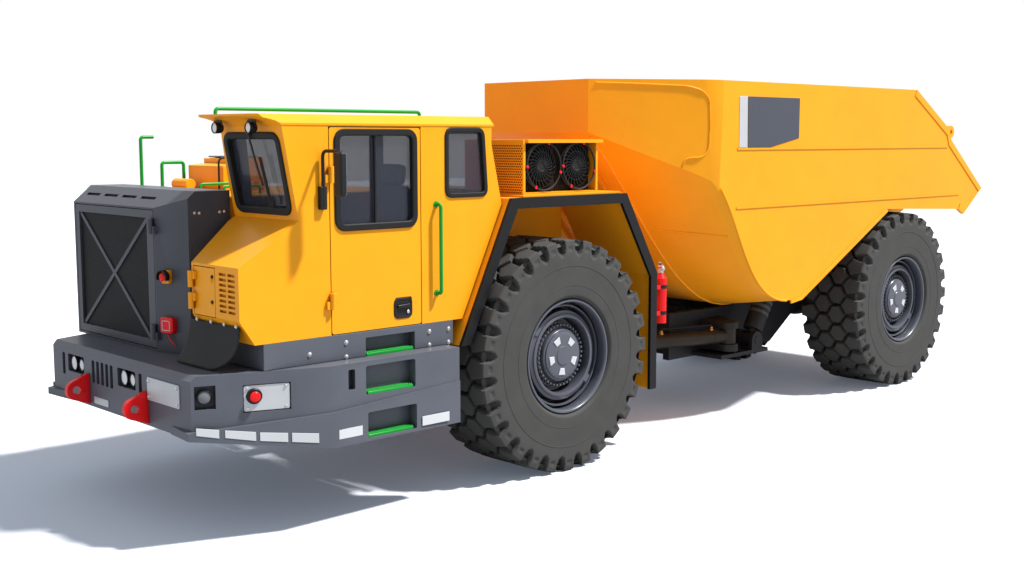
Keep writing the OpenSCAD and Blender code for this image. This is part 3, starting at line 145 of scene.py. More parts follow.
def softened(corners, radius, steps=5):
    """Outline of a polygon whose corners are quadratic curves that start radius short of each corner."""
    c = np.asarray(corners, float)
    back, ahead = np.roll(c, 1, 0) - c, np.roll(c, -1, 0) - c
    p = c + back / np.linalg.norm(back, axis=1)[:, None] * radius
    q = c + ahead / np.linalg.norm(ahead, axis=1)[:, None] * radius
    t = np.linspace(0, 1, steps + 1)[None, :, None]
    return ((1 - t) ** 2 * p[:, None] + 2 * t * (1 - t) * c[:, None] + t**2 * q[:, None]).reshape(-1, 2)


def grown(outline, by):
    """A closed outline moved out by a distance along the mitred normals of its corners."""
    o = np.asarray(outline, float)
    e = np.roll(o, -1, 0) - o
    n = np.stack([e[:, 1], -e[:, 0]], -1) / np.maximum(np.linalg.norm(e, axis=1), 1e-9)[:, None]
    m = n + np.roll(n, 1, 0)
    m /= np.maximum(np.linalg.norm(m, axis=1), 1e-9)[:, None]
    return o + m * by / np.maximum((m * n).sum(1), 0.5)[:, None]


def slab(outline, low, high, bevel=0.003):
    """A plate: an outline carried from low to high along the third axis, drawn in by the bevel at both ends."""
    inner = grown(outline, -bevel)
    rings = [(inner, low), (outline, low + bevel), (outline, high - bevel), (inner, high)]
    n = len(outline)
    points = np.concatenate([np.column_stack([o, np.full(n, h)]) for o, h in rings])
    faces = grid_faces(4, n, False, True) + [list(range(n))[::-1], [3 * n + i for i in range(n)]]
    return points, faces


def moulding(outline, profile):
    """A closed profile of offset and height carried round a closed outline."""
    n = len(outline)
    points = np.concatenate([np.column_stack([grown(outline, d), np.full(n, h)]) for d, h in profile])
    return points, grid_faces(len(profile), n, True, True)


def spline(points, steps=8):
    """A smooth path through points: Catmull-Rom curves, each a cubic of the four points round its span."""
    p = np.asarray(points, float)
    p = np.concatenate([[2 * p[0] - p[1]], p, [2 * p[-1] - p[-2]]])
    t = np.linspace(0, 1, steps, endpoint=False)[:, None]
    a, b, c, d = (q[:, None] for q in (p[:-3], p[1:-2], p[2:-1], p[3:]))
    spans = 2 * b + (c - a) * t + (2 * a - 5 * b + 4 * c - d) * t**2 + (3 * b - a - 3 * c + d) * t**3
    return np.concatenate([0.5 * spans.reshape(-1, p.shape[1]), p[-2:-1]])


def bent(points, radius, steps=6):
    """A path of straight runs whose corners are quadratic bends that start radius short of each corner."""
    p = np.asarray(points, float)
    out = [p[:1]]
    t = np.linspace(0, 1, steps + 1)[:, None]
    for a, b, c in zip(p[:-2], p[1:-1], p[2:]):
        s = b + (a - b) / np.linalg.norm(a - b) * radius
        e = b + (c - b) / np.linalg.norm(c - b) * radius
        out.append((1 - t) ** 2 * s + 2 * t * (1 - t) * b + t**2 * e)
    return np.concatenate(out + [p[-1:]])


def carried(profile, path, up=(0, 0, 1)):
    """A closed profile carried along a path, its second direction kept as near to up as the path lets it."""
    path, profile = np.asarray(path, float), np.asarray(profile, float)
    t = np.gradient(path, axis=0)
    t /= np.linalg.norm(t, axis=1)[:, None]
    side = np.cross(t, np.asarray(up, float))
    weak = np.linalg.norm(side, axis=1) < 0.05
    side[weak] = np.cross(t[weak], [0.3, 1, 0])
    side /= np.linalg.norm(side, axis=1)[:, None]
    flip = np.cumprod(np.where((side[1:] * side[:-1]).sum(1) < 0, -1, 1))
    side[1:] *= flip[:, None]
    over = np.cross(side, t)
    points = path[:, None] + profile[None, :, :1] * side[:, None] + profile[None, :, 1:] * over[:, None]
    m, n = len(path), len(profile)
    faces = grid_faces(m, n, False, True) + [list(range(n))[::-1], [(m - 1) * n + i for i in range(n)]]
    return points.reshape(-1, 3), faces


def round_bar(path, radius, sides=12, up=(0, 0, 1)):
    """A circle carried along a path."""
    a = np.arange(sides) * 2 * math.pi / sides
    return carried(np.stack([np.cos(a), np.sin(a)], -1) * radius, path, up)


def tile(size, low, high, bevel, origin, axes):
    """A plate with rounded corners, given by its width, height and radius, on a face."""
    return placed(slab(rounded(*size), low, high, bevel), origin, axes)


def bolt(radius, height):
    """A button-head bolt: a washer and a low dome, turned in twelve steps."""
    return lathe([(radius * 1.25, 0), (radius * 1.25, height * 0.2), (radius, height * 0.22),
        (radius * 0.92, height * 0.7), (radius * 0.6, height * 0.95), (radius * 0.2, height)], 12)


# The material made for each finish, by its name
FINISH = {}


def piece(name, shape, finish, body="front_unit", angle=35):
    """A mesh object made from a shape, with a finish and its slot, carried by a body of the truck."""
    points, faces = shape
    mesh = bpy.data.meshes.new(name)
    mesh.from_pydata(np.asarray(points, float).tolist(), [], faces)
    mesh.validate()
    mesh.polygons.foreach_set("use_smooth", np.ones(len(mesh.polygons), bool))
    mesh.set_sharp_from_angle(angle=math.radians(angle))
    mesh.materials.append(FINISH[finish])
    obj = bpy.data.objects.new(name, mesh)
    bpy.context.scene.collection.objects.link(obj)
    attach(obj, body)
    return obj


# Finishes


def linear(code):
    """An sRGB hex colour as linear red, green, blue and alpha."""
    c = np.array([int(code[i : i + 2], 16) for i in (1, 3, 5)]) / 255
    return (*np.where(c <= 0.04045, c / 12.92, ((c + 0.055) / 1.055) ** 2.4).tolist(), 1.0)


def add(tree, kind, settings=None, **links):
    """Adds one node, sets its properties and plain sockets, and links the sockets named by keywords."""
    n = tree.nodes.new(kind)
    for key, value in (settings or {}).items():
        if isinstance(key, str) and hasattr(n, key):
            setattr(n, key, value)
        else:
            n.inputs[key].default_value = value
    for key, socket in links.items():
        numbered = key[0] == "i" and key[1:].isdigit()
        tree.links.new(socket, n.inputs[int(key[1:]) if numbered else key.replace("_", " ")])
    return n


def blank(name):
    """A material with only its output, and the coordinates that its patterns read."""
    m = bpy.data.materials.new(name)
    m.use_nodes = True
    m.node_tree.nodes.clear()
    out = add(m.node_tree, "ShaderNodeOutputMaterial")
    place = add(m.node_tree, "ShaderNodeTexCoord").outputs["Object"]
    return m, m.node_tree, out, place


def coat(name, colour, roughness, tone=0.06, grain_mm=1.2, bump=0.02, metallic=0.0, hollow_shade=None, reach=0.12,
        spread_mm=420, **sockets):
    """A finish whose tone and roughness drift over spread_mm, with a bump of grain_mm and painted shade in its
    hollows.
    The grains are drawn coarser than the real ones, so that they show."""
    m, t, out, place = blank(name)
    wide = add(t, "ShaderNodeTexNoise", {"Scale": 1000 / spread_mm, "Detail": 4.0, "Roughness": 0.6},
        Vector=place)
    fine = add(t, "ShaderNodeTexNoise", {"Scale": 1000 / grain_mm, "Detail": 2.0}, Vector=place)
    base = np.array(linear(colour)[:3])
    ramp = add(t, "ShaderNodeValToRGB", {}, Fac=wide.outputs["Fac"])
    ramp.color_ramp.elements[0].position, ramp.color_ramp.elements[1].position = 0.3, 0.7
    ramp.color_ramp.elements[0].color = (*(base * (1 - tone)), 1)
    ramp.color_ramp.elements[1].color = (*np.minimum(base * (1 + tone), 1), 1)
    rough = add(t, "ShaderNodeMapRange", {"To Min": roughness * 0.85, "To Max": min(1, roughness * 1.15)},
        Value=wide.outputs["Fac"])
    relief = add(t, "ShaderNodeBump", {"Strength": bump, "Distance": 0.001}, Height=fine.outputs["Fac"])
    shader = add(t, "ShaderNodeBsdfPrincipled", {"Metallic": metallic, "Specular IOR Level": 0.25, **sockets},
        Roughness=rough.outputs["Result"], Normal=relief.outputs["Normal"])
    tint = ramp.outputs["Color"]
    # hollows found by ambient occlusion are painted towards a darker colour, as shade
    if hollow_shade:
        hollow = add(t, "ShaderNodeAmbientOcclusion", {"samples": 4, "Distance": reach})
        limits = {"From Min": 0.75, "From Max": 0.15, "To Min": 0.0, "To Max": 0.75}
        share = add(t, "ShaderNodeMapRange", limits, Value=hollow.outputs["AO"])
        mix = add(t, "ShaderNodeMix", {"data_type": "RGBA"}, Factor=share.outputs["Result"])
        t.links.new(tint, mix.inputs[6])
        mix.inputs[7].default_value = linear(hollow_shade)
        tint = mix.outputs[2]
    t.links.new(tint, shader.inputs["Base Color"])
    t.links.new(shader.outputs["BSDF"], out.inputs["Surface"])
    return m


# How far the inside of the cab's front and rear lean, for each metre of height
CAB_LEANS = (-0.188, 0.5635)


def lined(name, finish, colour):
    """A copy of a finish that turns to another colour inside the cab, a box that leans like the windscreen."""
    m = finish.copy()
    m.name = name
    t = m.node_tree
    shader = next(n for n in t.nodes if n.type == "BSDF_PRINCIPLED")
    place = add(t, "ShaderNodeSeparateXYZ", {}, Vector=add(t, "ShaderNodeTexCoord").outputs["Object"])
    x, y, z = place.outputs
    ahead, behind = (
        add(t, "ShaderNodeMath", {"operation": "MULTIPLY_ADD", 1: lean}, i0=z, i2=x).outputs[0]
        for lean in CAB_LEANS
    )
    outside = shader.inputs["Base Color"].links[0].from_socket
    tests = [(ahead, "LESS_THAN", 4.136), (behind, "GREATER_THAN", 3.98), (x, "GREATER_THAN", 2.735),
        (y, "GREATER_THAN", 0.455), (y, "LESS_THAN", 1.285), (z, "GREATER_THAN", 1.43), (z, "LESS_THAN", 3.01)]
    share = None
    for socket, kind, limit in tests:
        test = add(t, "ShaderNodeMath", {"operation": kind, 1: limit}, i0=socket).outputs[0]
        if share:
            test = add(t, "ShaderNodeMath", {"operation": "MULTIPLY"}, i0=share, i1=test).outputs[0]
        share = test
    mix = add(t, "ShaderNodeMix", {"data_type": "RGBA", 7: linear(colour)}, Factor=share)
    t.links.new(outside, mix.inputs[6])
    t.links.new(mix.outputs[2], shader.inputs["Base Color"])
    return m


def glazing(name, colour, clear):
    """Tinted sheet glass: a dark gloss surface, let through in the share that is clear, with a film of dust."""
    m, t, out, place = blank(name)
    dust = add(t, "ShaderNodeTexNoise", {"Scale": 1000 / 260, "Detail": 5.0}, Vector=place)
    rough = add(t, "ShaderNodeMapRange", {"To Min": 0.03, "To Max": 0.09}, Value=dust.outputs["Fac"])
    gloss = add(t, "ShaderNodeBsdfPrincipled", {"Base Color": linear(colour), "IOR": 1.5, "Alpha": 1 - clear},
        Roughness=rough.outputs["Result"])
    t.links.new(gloss.outputs["BSDF"], out.inputs["Surface"])
    return m


def lamp_glass(name, colour, glow):
    """Pressed lens glass over a bright reflector: fine ribs and a little light of its own."""
    m, t, out, place = blank(name)
    ribs = add(t, "ShaderNodeTexVoronoi", {"Scale": 1000 / 14}, Vector=place)
    relief = add(t, "ShaderNodeBump", {"Strength": 0.4, "Distance": 0.002}, Height=ribs.outputs["Distance"])
    shader = add(t, "ShaderNodeBsdfPrincipled", {"Base Color": linear(colour), "Roughness": 0.12,
        "Emission Color": linear(colour), "Emission Strength": glow}, Normal=relief.outputs["Normal"])
    t.links.new(shader.outputs["BSDF"], out.inputs["Surface"])
    return m


def woven_mesh(name, wire, gap, pitch_mm):
    """Wire mesh: wires on a square grid of pitch_mm over a gap painted dark as the shade behind them, coarser
    than real so that they show.
    """
    m, t, out, place = blank(name)
    slant = {"Rotation": (math.radians(45), 0, 0), "Scale": (0, 1000 / pitch_mm, 1000 / pitch_mm)}
    turned = add(t, "ShaderNodeMapping", slant, Vector=place)
    # the openings between the wires take the gap colour, painted shade of the dark behind the mesh
    brick = add(t, "ShaderNodeTexBrick", {"offset": 0.0, "Scale": 1.0, "Mortar Size": 0.16,
        "Mortar Smooth": 0.4, "Brick Width": 1.0, "Row Height": 1.0, "Color1": linear(gap),
        "Color2": linear(gap), "Mortar": linear(wire)})
    swap = add(t, "ShaderNodeSeparateXYZ", {}, Vector=turned.outputs["Vector"])
    flat = add(t, "ShaderNodeCombineXYZ", {}, X=swap.outputs["Y"], Y=swap.outputs["Z"])
    t.links.new(flat.outputs["Vector"], brick.inputs["Vector"])
    relief = add(t, "ShaderNodeBump", {"Strength": 0.5, "Distance": 0.003}, Height=brick.outputs["Fac"])
    shader = add(t, "ShaderNodeBsdfPrincipled", {"Roughness": 0.6, "Specular IOR Level": 0.15},
        Base_Color=brick.outputs["Color"], Normal=relief.outputs["Normal"])
    t.links.new(shader.outputs["BSDF"], out.inputs["Surface"])
    return m


def studio_floor(seen, bounced, lift):
    """Matt studio floor: a pale tone for the camera, lifted a little in the shadow, and a greyer one for the
    light that it throws back on the truck."""
    m, t, out, _ = blank("studio_floor")
    path = add(t, "ShaderNodeLightPath")
    mix = add(t, "ShaderNodeMixShader", {}, Fac=path.outputs["Is Camera Ray"])
    pale = add(t, "ShaderNodeBsdfDiffuse", {"Color": linear(seen)})
    glow = add(t, "ShaderNodeEmission", {"Color": linear("#CFDCF2"), "Strength": lift})
    t.links.new(add(t, "ShaderNodeBsdfDiffuse", {"Color": linear(bounced)}).outputs[0], mix.inputs[1])
    t.links.new(add(t, "ShaderNodeAddShader", {}, i0=pale.outputs[0], i1=glow.outputs[0]).outputs[0],
        mix.inputs[2])
    t.links.new(mix.outputs[0], out.inputs["Surface"])
    return m


class TruckColours(bpy.types.PropertyGroup):
    """Colours of the truck's finishes, as sRGB hex."""

    enamel: bpy.props.StringProperty(name="Enamel", description="Yellow enamel of the body panels",
        default="#FCA81D")
    slate: bpy.props.StringProperty(name="Slate", description="Grey enamel of the bumper, skirts and housing",
        default="#5A5E69")
    black: bpy.props.StringProperty(name="Black", description="Satin black of the frames", default="#232428")
    rubber: bpy.props.StringProperty(name="Rubber", description="Rubber of the tyres", default="#464646")
    green: bpy.props.StringProperty(name="Green", description="Rails and treads", default="#0E9A33")
    red: bpy.props.StringProperty(name="Red", description="Lugs, extinguisher and buttons", default="#F01A1E")
    reflector: bpy.props.StringProperty(name="Reflector", description="Reflective tape and bare plates",
        default="#CDD1D7")


class TruckSizes(bpy.types.PropertyGroup):
    """Sizes of the added pieces."""

    seal: bpy.props.FloatProperty(name="Window seal", description="Width of the rubber round a window",
        default=0.036, unit="LENGTH")
    lugs: bpy.props.IntProperty(name="Lugs", description="Lugs round a shoulder of a tyre", default=28)
    lug_depth: bpy.props.FloatProperty(name="Lug depth", description="Depth of the grooves between the lugs",
        default=0.055, unit="LENGTH")
    studs: bpy.props.IntProperty(name="Studs", description="Studs round a wheel", default=40)
    edge: bpy.props.FloatProperty(name="Edge", description="Rounding of the panels' edges", default=0.006,
        unit="LENGTH")


def make_finishes(c):
    """Each finish by the name of what it is made of; a comment says what that gives the eye."""
    FINISH.update(
        # stove enamel over steel plate: even, glossy, with a faint drift of tone and painted shade in its hollows
        enamel=coat("yellow_enamel", c.enamel, 0.34, tone=0.035, grain_mm=3, bump=0.015, hollow_shade="#9A5A0A",
            **{"Specular IOR Level": 0.15}),
        # two-pack grey paint on heavy plate: satin, with painted shade in the hollows
        slate=coat("slate_enamel", c.slate, 0.42, tone=0.08, grain_mm=4, bump=0.02, hollow_shade="#1A1B20"),
        # the same paint on the sheet housing, a darker batch, with painted shade in the hollows
        housing=coat("housing_enamel", "#4A4D57", 0.42, tone=0.08, grain_mm=4, bump=0.02, hollow_shade="#1A1B20"),
        # chassis black: satin, thick
        black=coat("chassis_black", c.black, 0.5, tone=0.1, grain_mm=5, bump=0.03),
        # carbon-filled rubber: matt, finely rough, with painted shade in its hollows
        rubber=coat("tyre_rubber", c.rubber, 0.78, tone=0.1, grain_mm=6, bump=0.12, hollow_shade="#0C0C0C",
            spread_mm=180),
        # extruded EPDM round the windows: near black, matt
        seal=coat("window_rubber", "#18191B", 0.6, tone=0.1, grain_mm=2, bump=0.05),
        # sheet rubber of the nose flap: dark, matt, finely grained
        flap=coat("flap_rubber", "#212124", 0.66, tone=0.1, grain_mm=3, bump=0.08),
        # moulded wheel-arch edge: near black, satin
        flare=coat("arch_plastic", "#121317", 0.45, tone=0.1, grain_mm=3, bump=0.04),
        # weathered dark paint on the steering cylinders: brownish, satin
        bronze=coat("cylinder_paint", "#2E2822", 0.4, tone=0.12, grain_mm=4, bump=0.05),
        # coated sheet, left blank: flat grey, satin
        sign=coat("blank_sheet", "#4A4E5A", 0.4, tone=0.03, grain_mm=4, bump=0.01),
        # sprayed safety green on the rails and treads: bright, glossy
        green=coat("green_enamel", c.green, 0.3, tone=0.05, grain_mm=3, bump=0.02),
        # sprayed red enamel: bright, glossy, with painted shade in its hollows
        red=coat("red_enamel", c.red, 0.28, tone=0.05, grain_mm=3, bump=0.02, hollow_shade="#5A0608"),
        # micro-prismatic tape: pale grey, even
        reflector=coat("reflective_tape", c.reflector, 0.4, tone=0.03, grain_mm=5, bump=0.05),
        # rolled aluminium plate: pale, with a dull shine
        plate=coat("aluminium_plate", "#C4C8CE", 0.38, tone=0.05, grain_mm=2, bump=0.03, metallic=0.2),
        # zinc plate on bolts and turned steel: bright metal, softly blurred
        zinc=coat("zinc_plate", "#C8C9CC", 0.32, tone=0.08, grain_mm=2, bump=0.03, metallic=0.9),
        # hard chrome on ground rods: close to a mirror
        chrome=coat("hard_chrome", "#C9CBD0", 0.14, tone=0.03, grain_mm=2, bump=0.005, metallic=1.0),
        # turned brass of the ports: yellow metal, softly blurred
        brass=coat("brass_fitting", "#B98A4A", 0.3, tone=0.1, grain_mm=2, bump=0.03, metallic=1.0),
        # sand-cast iron: dark grey, dull, pitted
        iron=coat("cast_iron", "#55575B", 0.6, tone=0.12, grain_mm=4, bump=0.15, metallic=0.4),
        # injection-moulded nylon of fans and lamp bodies: black, satin
        plastic=coat("black_nylon", "#1B1C1E", 0.42, tone=0.08, grain_mm=1.5, bump=0.04),
        # embossed vinyl of the seat: grey, dull, with a leathery grain
        vinyl=coat("seat_vinyl", "#63666E", 0.55, tone=0.08, grain_mm=2.5, bump=0.15),
        # sprayed enamel of the wheels: dark grey, glossy, with painted shade nearly black in the gutters
        rim=coat("wheel_enamel", "#565A66", 0.3, tone=0.06, grain_mm=3, bump=0.02, hollow_shade="#060708", reach=0.45,
            **{"Specular IOR Level": 0.5}),
        # tinted float glass: dark but clear, with sharp reflections
        glass=glazing("tinted_glass", "#343A49", 0.54),
        # silvered glass: a clean mirror
        mirror=coat("mirror_glass", "#AEB6C0", 0.04, tone=0.01, grain_mm=40, bump=0.0, metallic=1.0),
        # pressed lens glass over a bright reflector: pale, finely ribbed
        lens=lamp_glass("lamp_lens", "#D8DDE3", 0.08),
        # black woven wire: a slanting grid over painted shade in its gaps
        mesh=woven_mesh("radiator_mesh", "#202125", "#08080A", 16),
        # painted shade: the dark seen through punched holes
        hole=coat("punched_hole", "#160D05", 0.9, tone=0.0, grain_mm=5, bump=0.0),
        # toughened glass of the corner lamps over a dim reflector
        smoke=lamp_glass("smoked_lens", "#6C7078", 0.0),
        # rubber-covered hydraulic hose: black, matt
        hose=coat("hydraulic_hose", "#161618", 0.55, tone=0.1, grain_mm=2, bump=0.1),
    )
    # grey trim board on the inside of the cab, enamel on its outside
    FINISH["cab"] = lined("lined_enamel", FINISH["enamel"], "#8A8E9C")
    # the same painted shade on the sheets behind the fans
    FINISH["screen"] = FINISH["hole"]


NODE_FINISH = {
    "cab": ["cab_shell", "cab_roof", "cab_door"],
    "enamel": ["engine_hood", "hood_boxes", "fender_left", "fender_right", "nose_hatch", "dump_body",
        "dump_floor", "dump_wings", "dump_tail", "hoist_ears", "dump_side_left", "dump_side_right", "fan_box"],
    "slate": ["bumper", "cab_base"],
    "housing": ["radiator_housing", "radiator_door"],
    "flare": ["fender_flare_left", "fender_flare_right"],
    "flap": ["nose_flap"],
    "black": ["front_chassis", "rear_frame", "front_axle", "rear_axle", "hoist_barrel_left",
        "hoist_barrel_right", "radiator_core"],
    "glass": ["cab_glass", "door_glass"],
    "red": ["tow_lugs", "extinguisher"],
    "green": ["green_rails"],
    "plastic": ["fan_front", "fan_rear", "side_mirror"],
    "lens": ["lamps"],
    "vinyl": ["operator_seat"],
    "rubber": ["tyre_front_left", "tyre_front_right", "tyre_rear_left", "tyre_rear_right"],
    "rim": ["rim_front_left", "rim_front_right", "rim_rear_left", "rim_rear_right"],
    "iron": ["engine_block"],
    "bronze": ["steer_barrel_left", "steer_barrel_right"],
    "chrome": ["steer_rod_left", "steer_rod_right", "hoist_outer_left", "hoist_inner_left", "hoist_rod_left",
        "hoist_outer_right", "hoist_inner_right", "hoist_rod_right"],
}
ROUNDED_NODES = ["rear_frame", "front_chassis", "tow_lugs"]
for painted in ("cab", "enamel", "slate", "housing"):
    ROUNDED_NODES += NODE_FINISH[painted]


# Turns, in degrees, past which an edge stays sharp or is rounded, and under which faces are one plane
SHARP_TURN, ROUNDED_TURN, FLAT_TURN = 28, 32, 0.6


def soft_shade(limit):
    """A node group that shades faces smooth, apart from edges that turn by more than a limit."""
    t = bpy.data.node_groups.new("soft_shade", "GeometryNodeTree")
    for way in ("INPUT", "OUTPUT"):
        t.interface.new_socket("Geometry", in_out=way, socket_type="NodeSocketGeometry")
    given = add(t, "NodeGroupInput")
    faces = add(t, "GeometryNodeSetShadeSmooth", {"domain": "FACE"}, i0=given.outputs[0])
    turn = add(t, "GeometryNodeInputMeshEdgeAngle")
    sharp = add(t, "ShaderNodeMath", {"operation": "GREATER_THAN", 1: limit}, i0=turn.outputs[0])
    edges = add(t, "GeometryNodeSetShadeSmooth", {"domain": "EDGE", 2: False}, i0=faces.outputs[0],
        i1=sharp.outputs[0])
    add(t, "NodeGroupOutput", {}, i0=edges.outputs[0])
    return t


class TRUCK_OT_finishes(bpy.types.Operator):
    """Gives each solid of the truck its finish and rounds the panels' edges."""

    bl_idname = "truck.finishes"
    bl_label = "Finishes"

    def execute(self, context):
        make_finishes(context.scene.truck_colours)
        for finish, names in NODE_FINISH.items():
            for name in names:
                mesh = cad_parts[name].data
                mesh.materials.clear()
                mesh.materials.append(FINISH[finish])
        group = soft_shade(math.radians(SHARP_TURN))
        for name in ROUNDED_NODES:
            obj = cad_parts[name]
            weld = obj.modifiers.new("weld", "WELD")
            weld.merge_threshold = 0.0002
            flat = obj.modifiers.new("flat", "DECIMATE")
            flat.decimate_type = "DISSOLVE"
            flat.angle_limit = math.radians(FLAT_TURN)
            smooth = obj.modifiers.new("smooth", "NODES")
            smooth.node_group = group
            edge = obj.modifiers.new("edge", "BEVEL")
            edge.width = context.scene.truck_sizes.edge
            edge.segments = 2
            edge.limit_method = "ANGLE"
            edge.angle_limit = math.radians(ROUNDED_TURN)
            edge.harden_normals = True
        return {"FINISHED"}


# Wheels

WHEELS = [("front_left", 1), ("front_right", -1), ("rear_left", 1), ("rear_right", -1)]
TYRE_R, TYRE_HALF = 1.02, 0.385
# Columns of blocks across the tread, and half the width of the grooves between them
OUTER_COLUMN, INNER_COLUMN, GROOVE_HALF = 0.262, 0.086, 0.010


def tread_mask(s, a, pitch):
    """How deep a groove is at arc s round the tyre and arc a across it: hexagonal blocks are the cells of a
    staggered lattice, and the distance to a cell's edge less half the groove's width, smoothed, gives the
    wall of the groove."""
    columns = [(-OUTER_COLUMN, 0.5), (-INNER_COLUMN, 0.0), (INNER_COLUMN, 0.5), (OUTER_COLUMN, 0.0)]
    k = np.round(s / pitch)
    cells = [(y, (k + phase + d) * pitch, i) for i, (y, phase) in enumerate(columns) for d in (-1, 0, 1)]
    inner = np.clip(a, -OUTER_COLUMN, OUTER_COLUMN)
    py = np.array([y for y, _, _ in cells]).reshape(-1, 1, 1)
    ps = np.stack([p for _, p, _ in cells])
    col = np.array([i for _, _, i in cells]).reshape(-1, 1, 1)
    d2 = (inner - py) ** 2 + (s - ps) ** 2
    near = d2.argmin(0)[None]
    y1, s1, d1, c1 = (
        np.take_along_axis(np.broadcast_to(v, d2.shape), near, 0) for v in (py, ps, d2, col)
    )
    apart = np.sqrt((py - y1) ** 2 + (ps - s1) ** 2)
    edge = (d2 - d1) / (2 * np.maximum(apart, 1e-6))
    out = np.abs(a)
    widen = GROOVE_HALF + 0.034 * np.clip((out - 0.2) / 0.13, 0, 1)
    close = np.sqrt(np.clip(1 - ((out - 0.40) / 0.095) ** 2, 0, 1)) * (out > 0.40) + (out <= 0.40)
    shoulder = (col == c1) & ((col == 0) | (col == 3))
    half = np.where(shoulder, (widen * close)[None], np.where(out < 0.27, GROOVE_HALF, 0.0)[None])
    gap = np.where(apart < 1e-6, 1.0, edge - half).min(0)
    gap = np.where((out > 0.40) & (close <= 0), 1.0, gap)
    t = np.clip((gap + 0.004) / 0.014, 0, 1)
    return 1 - t * t * (3 - 2 * t)


def tyre_shape(lugs, depth):
    """A tyre about the second axis: a closed profile of beads, sidewalls and tread, turned in small steps, and
    moved in along its own normal by the depth of the grooves."""
    h = TYRE_HALF
    flat = h - 0.006
    side = [(0.482, h - 0.075), (0.50, h - 0.05), (0.512, h - 0.03), (0.522, h - 0.016), (0.530, h - 0.009),
        (0.538, h - 0.0065), (0.546, flat), (0.62, flat), (0.6215, flat), (0.623, flat + 0.0018),
        (0.627, flat + 0.0018), (0.6285, flat), (0.63, flat), (0.788, flat), (0.7895, flat),
        (0.791, flat + 0.0025), (0.797, flat + 0.0025), (0.7985, flat), (0.80, flat), (0.86, flat)]
    flank = np.linspace(0, 1, 14)[1:]
    lug_side = np.column_stack([0.86 + (TYRE_R - 0.012 - 0.86) * flank, flat - 0.014 * flank**2])
    tread_y = np.linspace(h - 0.03, -h + 0.03, 48)
    tread = np.column_stack([TYRE_R - 0.006 * (tread_y / h) ** 4, tread_y])
    half = np.concatenate([side, lug_side])
    profile = np.concatenate([half, tread, (half * (1, -1))[::-1]])
    d = np.gradient(profile, axis=0)
    d /= np.linalg.norm(d, axis=1)[:, None]
    normal = np.stack([-d[:, 1], d[:, 0]], -1)
    arc = np.concatenate([[0], np.cumsum(np.linalg.norm(np.diff(profile, axis=0), axis=1))])
    across = arc[-1] / 2 - arc
    steps = lugs * 20
    turn = np.arange(steps) * 2 * math.pi / steps
    pitch = 2 * math.pi * TYRE_R / lugs
    s = np.broadcast_to((turn * TYRE_R)[:, None], (steps, len(profile)))
    a = np.broadcast_to(across[None], s.shape)
    # the grooves run out on the sidewall
    deep = depth * np.clip((0.515 - np.abs(a)) / 0.06, 0, 1)
    sink = tread_mask(s, a, pitch) * deep
    # a shallow pocket in the shoulder of each lug
    phase = np.where(a > 0, 0.0, 0.5) * pitch
    off = np.abs((s - phase + pitch / 2) % pitch - pitch / 2)
    sink += 0.007 * ((off < 0.024) & (np.abs(np.abs(a) - 0.438) < 0.02))
    r = profile[None, :, 0] - sink * normal[None, :, 0]
    y = profile[None, :, 1] - sink * normal[None, :, 1]
    points = np.stack([r * np.cos(turn)[:, None], y, r * np.sin(turn)[:, None]], -1)
    return points.reshape(-1, 3), grid_faces(steps, len(profile), True, True)


def rim_shape(studs):
    """A rim about the second axis: a turned section with flange, gutters, lock ring and hub, and its studs."""
    h = TYRE_HALF
    # radius, and how far in from the tyre's outer face
    section = np.array([
        (0.05, 0.30), (0.478, 0.27), (0.478, 0.08), (0.490, 0.052), (0.499, 0.046), (0.502, 0.034),
        (0.496, 0.024), (0.482, 0.024), (0.474, 0.032), (0.471, 0.06), (0.470, 0.19), (0.452, 0.195),
        (0.450, 0.115), (0.446, 0.108), (0.434, 0.108), (0.430, 0.115), (0.428, 0.24), (0.410, 0.24),
        (0.402, 0.135), (0.394, 0.110), (0.372, 0.104), (0.366, 0.100), (0.364, 0.092), (0.354, 0.086),
        (0.336, 0.088), (0.330, 0.104), (0.326, 0.230), (0.315, 0.235), (0.296, 0.235), (0.290, 0.168),
        (0.250, 0.160), (0.234, 0.150), (0.230, 0.120), (0.222, 0.112), (0.210, 0.112), (0.206, 0.102),
        (0.196, 0.098), (0.176, 0.096), (0.085, 0.092), (0.080, 0.085), (0.03, 0.083)
    ])
    section[:, 1] = h - section[:, 1]
    turned = lathe(section, 96)
    stud = placed(lathe([(0.0165, 0), (0.0165, 0.024), (0.012, 0.027), (0.011, 0.040), (0.005, 0.043)], 8),
        (0.266, 0, h - 0.166), (X, Y, Z))
    ear = tile((0.055, 0.085, 0.02), 0, 0.03, 0.006, (0.386, 0, h - 0.128), FACE_TOP)
    ears = ring_of(ear, 2, (0, 0, 0), Z, math.radians(52))
    points, faces = join(turned, ring_of(stud, studs, (0, 0, 0), Z), ears)
    return points[:, [1, 2, 0]], faces


def mark_shape():
    """Five bright pads round the hub, each a plate that widens outwards."""
    pad = slab(np.array([(0.112, -0.026), (0.172, -0.041), (0.172, 0.041), (0.112, 0.026)]), 0, 0.008, 0.003)
    shape = ring_of(placed(pad, (0, 0, TYRE_HALF - 0.096), (X, Y, Z)), 5, (0, 0, 0), Z, math.radians(-42))
    return shape[0][:, [1, 2, 0]], shape[1]


